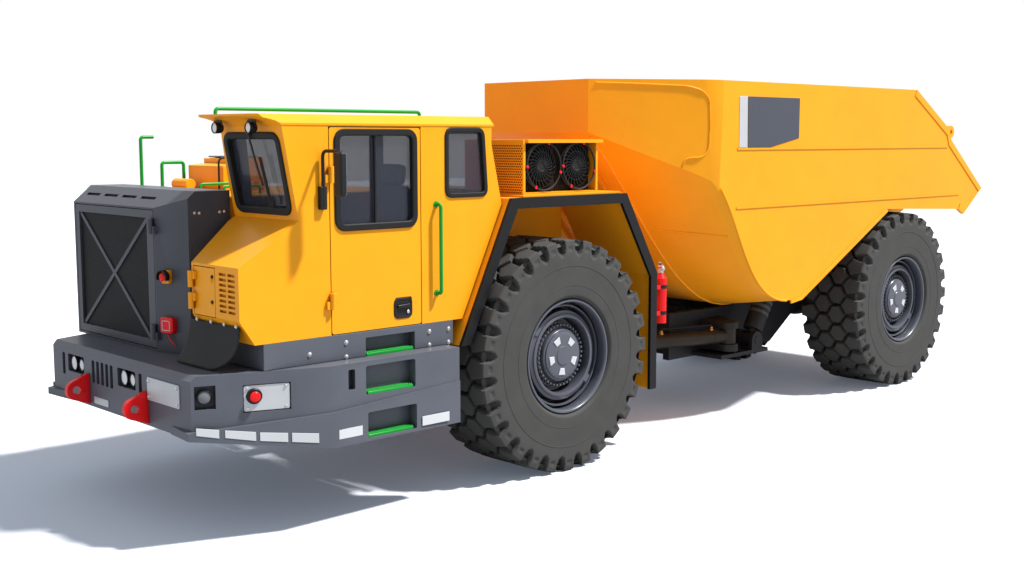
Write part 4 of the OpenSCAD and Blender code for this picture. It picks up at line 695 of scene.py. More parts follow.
class TRUCK_OT_wheels(bpy.types.Operator):
    """Makes the treaded tyres and the turned rims with their studs and hub marks."""

    bl_idname = "truck.wheels"
    bl_label = "Wheels"

    def execute(self, context):
        sizes = context.scene.truck_sizes
        shapes = {"tyre": tyre_shape(sizes.lugs, sizes.lug_depth), "rim": rim_shape(sizes.studs),
            "mark": mark_shape()}
        for name, side in WHEELS:
            low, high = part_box("tyre_" + name)
            centre = (np.array(low) + np.array(high)) / 2
            for kind, finish in (("tyre", "rubber"), ("rim", "rim"), ("mark", "reflector")):
                shape = shapes[kind] if side > 0 else mirrored(shapes[kind])
                title = f"{kind}s_{name}" if kind == "mark" else f"dressed_{kind}_{name}"
                made = piece(title, (shape[0] + centre, shape[1]), finish, "wheel_" + name, 40)
                if kind != "mark":
                    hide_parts(f"{kind}_{name}")
        return {"FINISHED"}


# Faces that the trim lies on, each as along, up and out, and where they stand

CAB_SIDE, NOSE_FRONT, BUMPER_FRONT, DUMP_SIDE = 1.31, 5.11, 5.41, 1.45
SKIRT_SIDE, HOOD_TOP, LID_LEVEL, SEAT_MIDDLE = 1.494, 2.45, 2.735, 0.875

FACE_CORNER = (np.array((-0.941, 0.338, 0)), Z, np.array((0.338, 0.941, 0)))
FACE_LEDGE = (np.array((-0.948, 0.3175, 0)), Z, np.array((0.3175, 0.948, 0)))
FACE_SCREEN = (Y, np.array((0.185, 0, 0.983)), np.array((0.983, 0, -0.185)))
FACE_HOUSING = (np.array((-0.255, 0.967, 0)), Z, np.array((0.967, 0.255, 0)))
CORNER_AT, LEDGE_AT = np.array((BUMPER_FRONT, 1.13, 0)), np.array((5.455, 1.1615, 0))


def on_corner(along, height):
    """A place on the slanted corner of the bumper, from its front edge."""
    return CORNER_AT + FACE_CORNER[0] * along + Z * height


class TRUCK_OT_seals(bpy.types.Operator):
    """Makes the rubber round each window and the bar across the door's window."""

    bl_idname = "truck.seals"
    bl_label = "Window rubber"

    def execute(self, context):
        w = context.scene.truck_sizes.seal
        lip = [(0.016, -0.004), (0.016, 0.008), (0.010, 0.015), (0.008 - w, 0.015), (-w, 0.008), (-w, -0.026),
            (-0.006, -0.026), (-0.004, -0.004)]
        thin = [(0.016, -0.004), (0.016, 0.008), (0.010, 0.013), (0.006 - w * 0.6, 0.013), (-w * 0.6, 0.007),
            (-w * 0.6, -0.026), (-0.006, -0.026), (-0.004, -0.004)]
        door = placed(moulding(rounded(0.757, 0.73, 0.075), lip), (3.8865, CAB_SIDE, 2.595), FACE_LEFT)
        bar = tile((0.014, 0.66, 0.004), -0.016, 0.004, 0.001, (3.90, CAB_SIDE, 2.595), FACE_LEFT)
        piece("door_window_rubber", join(door, bar), "seal", "cab_door")
        rear = softened([(-3.19, 2.445), (-2.76, 2.445), (-2.80, 2.975), (-3.19, 2.975)], 0.06)
        near = placed(moulding(rear, thin), (0, CAB_SIDE, 0), FACE_LEFT)
        far = softened([(2.76, 2.445), (3.19, 2.445), (3.19, 2.975), (2.80, 2.975)], 0.06)
        away = placed(moulding(far, thin), (0, 0.44, 0), FACE_RIGHT)
        screen = placed(moulding(rounded(0.725, 0.585, 0.07), lip), (4.6636, 0.8775, 2.6475), FACE_SCREEN)
        piece("cab_window_rubber", join(near, away, screen), "seal")
        return {"FINISHED"}


def lamp_case(radius, depth):
    """A lamp's body: a deep bowl turned about its axis, with a rolled rim."""
    return lathe([(radius * 0.4, 0), (radius * 0.75, 0.004), (radius * 0.95, depth * 0.3),
        (radius, depth * 0.7), (radius, depth), (radius * 0.92, depth + 0.003), (radius * 0.87, depth - 0.006)],
        36)


def lamp_face(radius, depth):
    """A lamp's lens: a shallow dome inside the rim."""
    t = np.linspace(0.03, 1, 7)[::-1]
    return lathe(np.column_stack([radius * 0.88 * t, depth - 0.006 + 0.010 * (1 - t**2)]), 36)


class TRUCK_OT_lamps(bpy.types.Operator):
    """Makes the work lamps under the visor and the lamps of the bumper, each a case with a lens."""

    bl_idname = "truck.lamps"
    bl_label = "Lamps"

    def execute(self, context):
        cases, lenses, yokes = [], [], []
        visor = (0.59, 1.055)
        pair = ((-0.062, 0.062), (0.075, 0.050))
        spots = [((4.78, y, 2.982), 0.042, 0.068) for y in visor]
        spots += [((5.352, y + d, 1.094), r, 0.046) for y in (-0.705, 0.165) for d, r in pair]
        for at, radius, depth in spots:
            cases.append(placed(lamp_case(radius, depth), at, FACE_FRONT))
            lenses.append(placed(lamp_face(radius, depth), at, FACE_FRONT))
        strap = [(-0.012, -0.0025), (0.012, -0.0025), (0.012, 0.0025), (-0.012, 0.0025)]
        for y in visor:
            turns = ((-0.049, 2.975), (-0.049, 3.028), (0.049, 3.028), (0.049, 2.975))
            yokes.append(carried(strap, bent([(4.815, y + d, z) for d, z in turns], 0.012), X))
        sunk = on_corner(0.10, 1.084) - FACE_CORNER[2] * 0.058
        corner_case = placed(lamp_case(0.055, 0.046), sunk, FACE_CORNER)
        corner_lens = placed(lamp_face(0.050, 0.046), sunk, FACE_CORNER)
        cases += [corner_case, mirrored(corner_case)]
        piece("lamp_cases", join(*cases, *yokes), "plastic")
        lens = piece("lamp_lenses", join(*lenses), "lens")
        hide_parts("lamps")
        piece("corner_lenses", join(corner_lens, mirrored(corner_lens)), "smoke")
        return {"FINISHED"}


def flap_sheet():
    """The rubber under the nose: straight across at its top, swept forward by the square of its drop, its
    lower outer corner a quarter of an ellipse."""
    u, v = np.meshgrid(np.linspace(0, 1, 41), np.linspace(0, 1, 21), indexing="ij")
    low = 1.490 - 0.238 * np.sqrt(np.clip(1 - (np.clip(u - 0.62, 0, 1) / 0.38) ** 2, 0, 1))
    z = 1.574 + v * (low - 1.574)
    x = 5.094 + 0.10 * ((1.574 - z) / 0.322) ** 2
    y = 0.60 + 0.68 * u - 0.05 * v * (1 - u)
    return np.stack([x, y, z], -1).reshape(-1, 3), grid_faces(41, 21)


class TRUCK_OT_cab_trim(bpy.types.Operator):
    """Makes the wiper, the door's handle and lock, bolts, the mirror, the hatch's latches and the flap."""

    bl_idname = "truck.cab_trim"
    bl_label = "Cab trim"

    def execute(self, context):
        flat = [(-0.009, -0.004), (0.009, -0.004), (0.009, 0.004), (-0.009, 0.004)]
        arm = carried(flat, [(4.750, 0.895, 2.955), (4.735, 0.905, 2.87), (4.700, 0.935, 2.69),
            (4.668, 0.957, 2.556)], FACE_SCREEN[2])
        blade = carried([(-0.012, -0.007), (0.012, -0.007), (0.004, 0.011), (-0.004, 0.011)],
            [(4.704, 0.978, 2.769), (4.668, 0.995, 2.585), (4.634, 1.012, 2.402)], FACE_SCREEN[2])
        boss = placed(lathe([(0.026, 0), (0.026, 0.02), (0.02, 0.03), (0.006, 0.034)], 20),
            (4.728, 0.895, 2.955), FACE_SCREEN)
        piece("wiper", join(arm, blade, boss), "plastic")
        handle_at = (3.645, CAB_SIDE, 1.587)
        lip = [(0.012, 0), (0.012, 0.006), (0.004, 0.010), (-0.010, 0.006), (-0.012, 0)]
        dish = placed(moulding(rounded(0.155, 0.14, 0.03), lip), handle_at, FACE_LEFT)
        floor = tile((0.14, 0.125, 0.025), 0.0, 0.004, 0.001, handle_at, FACE_LEFT)
        grip = softened([(-0.06, -0.012), (0.06, -0.018), (0.06, 0.018), (-0.06, 0.012)], 0.006)
        pull = placed(slab(grip, 0.006, 0.022, 0.004), (3.645, CAB_SIDE, 1.60), FACE_LEFT)
        piece("door_handle", join(dish, floor, pull), "plastic", "cab_door")
        lock = placed(lathe([(0.014, 0.003), (0.014, 0.012), (0.011, 0.015), (0.003, 0.015)], 20),
            (3.600, CAB_SIDE, 1.553), FACE_LEFT)
        piece("door_lock", lock, "zinc", "cab_door")
        holes = ((4.527, 1.321), (4.195, 1.373), (4.195, 1.263), (3.380, 1.372), (3.380, 1.262),
            (3.178, 1.372), (3.178, 1.264))
        base = [(x, CAB_SIDE, z) for x, z in holes]
        nose = [(NOSE_FRONT, y, 1.582) for y in (0.72, 0.92, 1.10, 1.26)]
        side_bolts = scattered(bolt(0.016, 0.014), base, FACE_LEFT)
        piece("cab_bolts", join(side_bolts, scattered(bolt(0.011, 0.010), nose, FACE_FRONT)), "zinc")
        shell = softened([(-0.0475, -0.155), (0.0475, -0.1675), (0.0475, 0.1675), (-0.0475, 0.16)], 0.025)
        mirror_at = (4.425, 1.5475, 2.6475)
        head = placed(slab(shell, 0, 0.058, 0.014), mirror_at, FACE_REAR)
        pole = round_bar(bent([(4.40, 1.34, 2.40), (4.40, 1.34, 2.814), (4.40, 1.53, 2.814)], 0.05), 0.013)
        foot = tile((0.058, 0.17, 0.01), 0, 0.04, 0.004, (4.40, CAB_SIDE, 2.47), FACE_LEFT)
        mirror = piece("mirror_body", join(head, pole, foot), "plastic")
        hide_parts("side_mirror")
        silver = tile((0.078, 0.30, 0.016), 0.057, 0.0595, 0.001, mirror_at, FACE_REAR)
        piece("mirror_glass", silver, "mirror")
        pins = [(NOSE_FRONT, 0.954, 1.913), (NOSE_FRONT, 0.948, 1.728)]
        piece("hatch_latches", scattered(bolt(0.012, 0.012), pins, FACE_FRONT), "plastic", "nose_hatch")
        flap = piece("curved_flap", flap_sheet(), "flap", "front_unit", 60)
        thick = flap.modifiers.new("thickness", "SOLIDIFY")
        thick.thickness, thick.offset = 0.010, 0.0
        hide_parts("nose_flap")
        return {"FINISHED"}


def cushion(half, power, crown, steps=28):
    """A padded block: a superellipsoid, its sines and cosines raised to a power, with its top crowned."""
    u = np.linspace(-math.pi / 2 + 0.02, math.pi / 2 - 0.02, steps)[:, None]
    v = (np.arange(2 * steps) * math.pi / steps)[None]
    cu, su, cv, sv = (np.sign(c) * np.abs(c) ** power for c in (np.cos(u), np.sin(u), np.cos(v), np.sin(v)))
    x, y, z = half[0] * cu * cv, half[1] * cu * sv, half[2] * su * np.ones_like(v)
    lift = crown * np.clip(1 - (x / half[0]) ** 2, 0, 1) * np.clip(1 - (y / half[1]) ** 2, 0, 1) * (z > 0)
    points = np.stack([x, y, z + lift], -1).reshape(-1, 3)
    n = 2 * steps
    ends = [list(range(n))[::-1], [(steps - 1) * n + i for i in range(n)]]
    return points, grid_faces(steps, n, False, True) + ends


class TRUCK_OT_seat(bpy.types.Operator):
    """Makes the operator's seat: a bellows foot, a crowned cushion, a back and a head rest."""

    bl_idname = "truck.seat"
    bl_label = "Seat"

    def execute(self, context):
        lean = math.radians(7)
        up = np.array((-math.sin(lean), 0, math.cos(lean)))
        out = np.array((math.cos(lean), 0, math.sin(lean)))
        folds = []
        for i in range(7):
            outline = rounded(0.40 - 0.03 * (i % 2), 0.30 - 0.03 * (i % 2), 0.05)
            fold = slab(outline, 1.49 + 0.041 * i, 1.53 + 0.041 * i, 0.012)
            folds.append(placed(fold, (3.70, SEAT_MIDDLE, 0), FACE_TOP))
        piece("seat_foot", join(*folds), "plastic")
        base = placed(cushion((0.262, 0.238, 0.062), 0.35, 0.022), (3.695, SEAT_MIDDLE, 1.842), FACE_TOP)
        back = placed(cushion((0.335, 0.228, 0.055), 0.35, 0.018), (3.437, SEAT_MIDDLE, 2.20), (up, Y, out))
        head = placed(cushion((0.085, 0.128, 0.045), 0.4, 0.012), (3.388, SEAT_MIDDLE, 2.612), (up, Y, out))
        shapes = {"seat_cushion": base, "seat_back": back, "seat_head": head}
        pads = [piece(name, shape, "vinyl", "front_unit", 60) for name, shape in shapes.items()]
        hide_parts("operator_seat")
        return {"FINISHED"}


class TRUCK_OT_radiator_trim(bpy.types.Operator):
    """Makes the radiator's mesh, the stop button, the red box and its cable, the hood's pipe, lid and bolts."""

    bl_idname = "truck.radiator_trim"
    bl_label = "Radiator trim"

    def execute(self, context):
        y, z = np.meshgrid(np.linspace(-1.303, -0.110, 120), np.linspace(1.331, 2.288, 97), indexing="ij")
        x = 5.0405 + 0.0012 * np.sin(y * 2 * math.pi / 0.04) * np.sin(z * 2 * math.pi / 0.04)
        piece("radiator_mesh", (np.stack([x, y, z], -1).reshape(-1, 3), grid_faces(120, 97)), "mesh",
            "radiator_door", 60)
        at = np.array((5.016, 0.141, 1.844))
        case = tile((0.085, 0.105, 0.015), 0, 0.045, 0.006, at, FACE_HOUSING)
        piece("stop_case", case, "enamel")
        button = placed(lathe([(0.012, 0.045), (0.012, 0.06), (0.03, 0.062), (0.032, 0.072), (0.022, 0.080),
            (0.004, 0.082)], 28), at, FACE_HOUSING)
        box_at = np.array((5.012, 0.152, 1.467))
        box = tile((0.135, 0.125, 0.022), 0, 0.06, 0.008, box_at, FACE_HOUSING)
        piece("stop_button", button, "red")
        piece("charge_box", box, "red")
        arc = np.linspace(-0.15 * math.pi, 1.15 * math.pi, 22)
        along, up, out = FACE_HOUSING
        ring = at + np.outer(np.cos(arc), along) * 0.052 + np.outer(np.sin(arc), up) * 0.052 + out * 0.045
        wall = [(-0.004, 0), (0.004, 0), (0.004, 0.038), (-0.004, 0.038)]
        piece("stop_hood", carried(wall, ring, out), "plastic")
        tail = spline(box_at + np.array([(0.03, 0.0, -0.06), (0.03, 0.005, -0.085), (0.028, 0.03, -0.115),
            (0.02, 0.055, -0.14), (0.012, 0.066, -0.153)]), 10)
        cable = piece("charge_cable", round_bar(tail, 0.006, 10), "red", "front_unit", 60)
        edge = [(0.004, -0.001), (0.004, 0.0015), (-0.001, 0.0015), (-0.001, -0.001)]
        label = moulding(rounded(0.075, 0.07, 0.006), edge)
        piece("box_label", placed(label, box_at + out * 0.06, FACE_HOUSING), "reflector")
        run = [(4.05, -0.72, HOOD_TOP), (4.05, -0.72, LID_LEVEL), (3.85, -0.72, LID_LEVEL)]
        piece("hood_pipe", round_bar(bent(run, 0.05), 0.009), "hose")
        lid = tile((0.19, 0.56, 0.012), 0, 0.012, 0.004, (3.751, -0.97, LID_LEVEL), FACE_TOP)
        piece("hood_lid", lid, "slate")
        pairs = [(4.908, 0.37, 2.34), (4.867, 0.37, 2.337), (4.692, 0.37, 2.339), (4.651, 0.37, 2.341)]
        piece("housing_bolts", scattered(bolt(0.011, 0.010), pairs, FACE_LEFT), "zinc")
        return {"FINISHED"}


class TRUCK_OT_bumper_trim(bpy.types.Operator):
    """Makes the bare plates, the reflective strips, the light plate with its red button, and their bolts."""

    bl_idname = "truck.bumper_trim"
    bl_label = "Bumper trim"

    def execute(self, context):
        large = tile((0.47, 0.17, 0.012), 0, 0.010, 0.002, (BUMPER_FRONT, 0.745, 1.075), FACE_FRONT)
        small = tile((0.24, 0.055, 0.008), 0, 0.006, 0.002, (BUMPER_FRONT, -0.265, 0.8525), FACE_FRONT)
        light = tile((0.335, 0.188, 0.015), -0.016, -0.006, 0.002, on_corner(0.5415, 1.0545), FACE_CORNER)
        piece("bare_plates", join(large, small, light, mirrored(light)), "plate")
        spots = [(5.42, 0.745 + dy, 1.075 + dz) for dy in (-0.21, 0.21) for dz in (-0.06, 0.06)]
        corner = [
            on_corner(0.5415 + d, 1.0545 + h) - FACE_CORNER[2] * 0.006
            for d in (-0.14, 0.14) for h in (-0.075, 0.075)
        ]
        front_bolts = scattered(bolt(0.012, 0.012), spots, FACE_FRONT)
        piece("plate_bolts", join(front_bolts, scattered(bolt(0.010, 0.010), corner, FACE_CORNER)), "zinc")
        knob_at = np.array((4.987, 1.278, 1.07)) - FACE_CORNER[2] * 0.004
        knob = placed(lathe([(0.02, 0.0), (0.02, 0.025), (0.036, 0.028), (0.039, 0.04), (0.030, 0.05),
            (0.006, 0.053)], 32), knob_at, FACE_CORNER)
        piece("corner_button", knob, "red")
        collar = placed(lathe([(0.058, 0.0), (0.058, 0.012), (0.05, 0.018), (0.03, 0.018)], 32), knob_at,
            FACE_CORNER)
        piece("button_collar", collar, "plastic")
        rows = np.array([(5.402, 0.883, 0.829, 5.250, 0.856, 0.795), (5.210, 0.849, 0.794, 5.001, 0.815, 0.750),
            (4.974, 0.809, 0.747, 4.780, 0.785, 0.718), (4.752, 0.782, 0.715, 4.561, 0.758, 0.687)])
        strips = []
        for x0, high0, low0, x1, high1, low1 in rows:
            u0, u1 = ((x - LEDGE_AT[0]) / FACE_LEDGE[0][0] for x in (x0, x1))
            tape = np.array([(u0, low0), (u1, low1), (u1, high1), (u0, high0)])
            strips.append(placed(slab(tape, 0.0, 0.003, 0.001), LEDGE_AT, FACE_LEDGE))
        for x0, x1, low, high in ((4.43, 4.19, 0.692, 0.764), (3.61, 3.332, 0.668, 0.743)):
            tape = np.array([(-x0, low), (-x1, low), (-x1, high), (-x0, high)])
            strips.append(placed(slab(tape, 0.0, 0.003, 0.001), (0, SKIRT_SIDE, 0), FACE_LEFT))
        strips += [mirrored(s) for s in strips]
        piece("reflectors", join(*strips), "reflector")
        return {"FINISHED"}


def tread(length, depth, studs):
    """A grip step on a left face: a bar with rows of domes on its top, each a low turned cap."""
    bar = slab(rounded(length, 0.020, 0.004), -depth, 0, 0.002)
    cap = lathe([(0.0085, 0), (0.0075, 0.005), (0.004, 0.0085), (0.001, 0.0095)], 8)
    along = np.linspace(-length / 2 + 0.012, length / 2 - 0.012, studs)
    lines = np.linspace(0.010, depth - 0.010, 4)
    rows = [np.column_stack([along, np.full(studs, 0.010), np.full(studs, -d)]) for d in lines]
    return join(bar, scattered(cap, np.concatenate(rows), (X, -Z, Y)))


def hoop(front, rear, side, foot, top):
    """Corners of a rail that stands on two feet: up, along and down again."""
    return [(front, side, foot), (front, side, top), (rear, side, top), (rear, side, foot)]


class TRUCK_OT_rails(bpy.types.Operator):
    """Makes the bent green rails and the serrated steps."""

    bl_idname = "truck.rails"
    bl_label = "Rails and steps"

    def execute(self, context):
        runs = [
            (hoop(4.84, 2.88, 0.6, 3.075, 3.125), 0.014),
            ([(3.30, CAB_SIDE, 2.385), (3.30, 1.37, 2.385), (3.30, 1.37, 1.675), (3.30, CAB_SIDE, 1.675)],
                0.015),
            ([(4.46, -1.33, HOOD_TOP), (4.46, -1.33, 2.915), (4.34, -1.33, 2.915)], 0.015),
            (hoop(4.474, 4.12, -0.30, HOOD_TOP, 2.530), 0.012),
            (hoop(4.40, 4.06, -0.05, HOOD_TOP, 2.515), 0.012),
            (hoop(4.264, 4.05, -1.33, HOOD_TOP, 2.69), 0.015),
        ]
        bars = [round_bar(bent(path, 0.03), r, 14, (0.05, 1, 0.02)) for path, r in runs]
        feet = scattered(lathe([(0.026, 0), (0.026, 0.006), (0.018, 0.008), (0.006, 0.008)], 16),
            [(3.30, CAB_SIDE, 2.385), (3.30, CAB_SIDE, 1.675)], FACE_LEFT)
        steps = [placed(tread(0.437, 0.08, 20), (3.8975, 1.470, z), FACE_LEFT) for z in (0.996, 0.665)]
        steps += [mirrored(s) for s in steps]
        steps.append(placed(tread(0.459, 0.08, 21), (3.7695, 1.305, 1.255), FACE_LEFT))
        rails = piece("rails_and_steps", join(*bars, feet, *steps), "green")
        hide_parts("green_rails")
        return {"FINISHED"}


FAN_PLACES, FAN_HEIGHT = {"fan_front": 2.09, "fan_rear": 1.655}, 2.665


class TRUCK_OT_fans(bpy.types.Operator):
    """Makes the finned fans, their guard rings with red marks, dark sheets of painted shade behind them, and
    punched holes drawn as dark discs of painted shade.
    """

    bl_idname = "truck.fans"
    bl_label = "Fans"

    def execute(self, context):
        r = np.linspace(0.052, 0.188, 9)
        rise = 0.010 + 0.034 * np.sqrt(np.clip(1 - (r / 0.192) ** 2, 0, 1))
        sweep = 0.55 * (r - 0.052) / 0.136
        path = np.stack([r * np.cos(sweep), r * np.sin(sweep), rise], -1)
        fin = carried([(-0.005, -0.014), (0.005, -0.014), (0.004, 0.002), (-0.004, 0.002)], path, Z)
        fins = ring_of(fin, 24, (0, 0, 0), Z)
        hoops = [lathe([(q - 0.003, h - 0.003), (q + 0.003, h - 0.003), (q + 0.003, h + 0.003),
            (q - 0.003, h + 0.003)], 64, True) for q, h in ((0.188, 0.018), (0.125, 0.034))]
        hub = lathe([(0.058, 0.0), (0.058, 0.036), (0.05, 0.042), (0.042, 0.042), (0.038, 0.036),
            (0.006, 0.034)], 48)
        tooth = tile((0.012, 0.010, 0.002), 0.03, 0.044, 0.002, (0.046, 0, 0), FACE_TOP)
        teeth = ring_of(tooth, 16, (0, 0, 0), Z)
        wheel = join(fins, *hoops, hub, teeth)
        guards, marks = [], []
        guard = lathe([(0.196, -0.002), (0.212, -0.002), (0.212, 0.006), (0.204, 0.010), (0.196, 0.006)], 72,
            True)
        mark = tile((0.028, 0.022, 0.004), 0.006, 0.014, 0.002, (0.204, 0, 0), FACE_TOP)
        for body, x in FAN_PLACES.items():
            shape = placed(wheel, (x, 1.242, FAN_HEIGHT), FACE_LEFT)
            made = piece("dressed_" + body, shape, "plastic", body, 40)
            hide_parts(body)
            guards.append(placed(guard, (x, CAB_SIDE, FAN_HEIGHT), FACE_LEFT))
            for clock in (0.5, 3.5, 7.0, 9.0):
                turned = ring_of(mark, 1, (0, 0, 0), Z, math.pi / 2 - clock * math.pi / 6)
                marks.append(placed(turned, (x, CAB_SIDE, FAN_HEIGHT), FACE_LEFT))
        # dark sheets behind the fans, painted as the shade inside the box
        sheet = slab(rounded(0.425, 0.40, 0.01), -0.002, 0.002, 0.001)
        shade_sheets = [placed(sheet, (x, 1.222, 2.655), FACE_LEFT) for x in FAN_PLACES.values()]
        piece("fan_shade_sheets", join(*shade_sheets), "screen")
        # dark discs on the fan box's front, painted as the shade seen through punched holes
        row, column = np.meshgrid(np.arange(19), np.arange(31), indexing="ij")
        at = np.stack([np.full(row.shape, 2.335), 0.585 + 0.023 * (column + 0.5 * (row % 2)),
            2.445 + 0.022 * row], -1).reshape(-1, 3)
        piece("punched_holes", scattered(lathe([(0.0075, 0.0006), (0.003, 0.0010)], 8), at, FACE_FRONT), "hole")
        piece("fan_guards", join(*guards), "black")
        piece("fan_marks", join(*marks), "red")
        return {"FINISHED"}


def bezier(a, b, c, d, t):
    """Points of a cubic curve: its four corners weighted by the cubic terms of t and 1 - t."""
    a, b, c, d = (np.array(p) for p in (a, b, c, d))
    return (1 - t) ** 3 * a + 3 * t * (1 - t) ** 2 * b + 3 * t**2 * (1 - t) * c + t**3 * d


def laid_on(node, path, out):
    """A path dropped onto a solid of the truck: each point is sent against out until it meets the surface."""
    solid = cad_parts[node]
    hits = [solid.ray_cast(tuple(p + out * 0.8), tuple(-out)) for p in path]
    return np.array([h[1] for h in hits if h[0]])


class TRUCK_OT_dump_trim(bpy.types.Operator):
    """Makes the blank plate with its pale strip, the bead round the corner panel and those along the scoop."""

    bl_idname = "truck.dump_trim"
    bl_label = "Dump body trim"

    def execute(self, context):
        sign = softened([(0.643, 2.812), (1.023, 2.812), (1.533, 2.905), (1.533, 3.317), (0.630, 3.317)], 0.012)
        edge = softened([(0.497, 2.812), (0.628, 2.812), (0.622, 3.317), (0.490, 3.317)], 0.008)
        for name, outline, finish in (("blank_sign", sign, "sign"), ("sign_strip", edge, "plate")):
            left = placed(slab(outline, 0, 0.005, 0.0015), (0, DUMP_SIDE, 0), FACE_LEFT)
            piece(name, join(left, mirrored(left)), finish, "dump_body")
        out = np.array((0.573, 0.82, 0))
        outline = [(0.86, 0.772, 3.43), (0.511, 1.016, 3.42), (0.121, 1.288, 3.402), (0.0, 1.373, 3.361),
            (-0.062, 1.416, 3.28), (-0.069, 1.421, 3.014), (-0.06, 1.415, 2.801), (-0.01, 1.38, 2.722),
            (0.136, 1.278, 2.712), (0.156, 1.264, 2.63)]
        crease = [(0.171, 1.044, 1.986), (-0.058, 1.204, 1.967), (-0.387, 1.434, 1.932)]
        t = np.linspace(0.02, 0.97, 40)[:, None]
        scoop = ((0.92, 2.96), (0.20, 2.36), (-0.42, 1.01), (-1.466, 1.113))
        flank = ((-0.193, 2.437), (-0.585, 2.03), (-0.68, 1.205), (-1.452, 1.205))
        middle = bezier(*[(x, 0.722, z) for x, z in scoop], t)
        wall = bezier(*[(x, DUMP_SIDE, z) for x, z in flank], t)
        runs = [round_bar(laid_on("dump_body", bent(path, 0.05), out), 0.010, 8) for path in (outline, crease)]
        runs += [round_bar(laid_on("dump_body", middle, np.array((0.78, 0, -0.62))), 0.014, 10),
            round_bar(wall, 0.013, 10)]
        piece("panel_beads", join(*runs, *[mirrored(r) for r in runs]), "enamel", "dump_body", 60)
        return {"FINISHED"}


class TRUCK_OT_cylinders(bpy.types.Operator):
    """Makes the glands, ports and pipes of the steering cylinders, and the collars of the hoist cylinders."""

    bl_idname = "truck.cylinders"
    bl_label = "Cylinder fittings"

    def execute(self, context):
        rear, front = np.array((-1.12, 0.90, 0.80)), np.array((0.40, 0.46, 0.80))
        along = (front - rear) / np.linalg.norm(front - rear)
        across = np.cross(Z, along)
        face = (across, np.cross(along, across), along)
        gland = lathe([(0.0705, 0), (0.079, 0), (0.079, 0.05), (0.072, 0.056), (0.0705, 0.056)], 40, True)
        port = lathe([(0.024, 0), (0.024, 0.028), (0.017, 0.032), (0.017, 0.05), (0.006, 0.052)], 18)
        ports = [placed(port, rear + along * d + Z * 0.062, FACE_TOP) for d in (0.22, 0.86)]
        glands = join(placed(gland, rear + along * 0.93, face), placed(gland, rear + along * 0.17, face))
        turns = ((0.22, 0.10), (0.22, 0.125), (0.86, 0.125), (0.86, 0.10))
        pipe = round_bar(bent([rear + along * d + Z * h for d, h in turns], 0.02), 0.010)
        sides = (("left", lambda shape: shape), ("right", mirrored))
        for side, turn in sides:
            body = "steer_barrel_" + side
            piece("steer_glands_" + side, turn(glands), "bronze", body)
            piece("steer_ports_" + side, turn(join(*ports)), "brass", body)
            piece("steer_pipe_" + side, turn(pipe), "hose", body)
        foot, head = np.array((-1.56, 0.86, 0.71)), np.array((-2.30, 0.86, 1.96))
        along = (head - foot) / np.linalg.norm(head - foot)
        collar = [(0.103, 0), (0.109, 0), (0.113, 0.004), (0.113, 0.030), (0.109, 0.034), (0.103, 0.034)]
        face = (np.cross(Y, along), Y, along)
        places = [foot + along * d for d in (0.30, 0.37, 0.44, 1.20)]
        rings = join(*[placed(lathe(collar, 48, True), at, face) for at in places])
        for side, turn in sides:
            piece("hoist_collars_" + side, turn(rings), "iron", "hoist_barrel_" + side)
        return {"FINISHED"}


class TRUCK_OT_extinguisher(bpy.types.Operator):
    """Makes the extinguisher's bands, valve, levers and gauge."""

    bl_idname = "truck.extinguisher"
    bl_label = "Extinguisher"

    def execute(self, context):
        at = (0.51, CAB_SIDE, 0)
        bands = [placed(lathe([(0.0582, z), (0.0605, z), (0.0605, z + 0.034), (0.0582, z + 0.034)], 40, True),
            at, FACE_TOP) for z in (1.233, 1.483)]
        piece("extinguisher_bands", join(*bands), "plastic")
        valve = placed(lathe([(0.027, 1.632), (0.027, 1.655), (0.021, 1.66), (0.021, 1.685), (0.026, 1.69),
            (0.026, 1.705), (0.006, 1.71)], 28), at, FACE_TOP)
        flat = [(-0.013, -0.003), (0.013, -0.003), (0.013, 0.003), (-0.013, 0.003)]
        bends = ((1.702, 1.716, 1.738), (1.690, 1.682, 1.652))
        levers = [
            carried(flat, spline([(0.485, 1.300, low), (0.515, 1.312, middle), (0.585, 1.360, end)], 6))
            for low, middle, end in bends
        ]
        gauge = placed(lathe([(0.019, 0), (0.019, 0.014), (0.016, 0.017), (0.004, 0.018)], 24),
            (0.51, 1.332, 1.672), FACE_LEFT)
        piece("extinguisher_valve", join(valve, *levers, gauge), "zinc")
        return {"FINISHED"}


# Stage

CAMERA_AT = (9.726, 8.955, 2.910)
CAMERA_YAW, CAMERA_PITCH, CAMERA_LENS = 226.485, 6.841, 44.06
SUN_POWER, FILL_POWER, FLOOR_HALF = 5.9, 0.48, 60


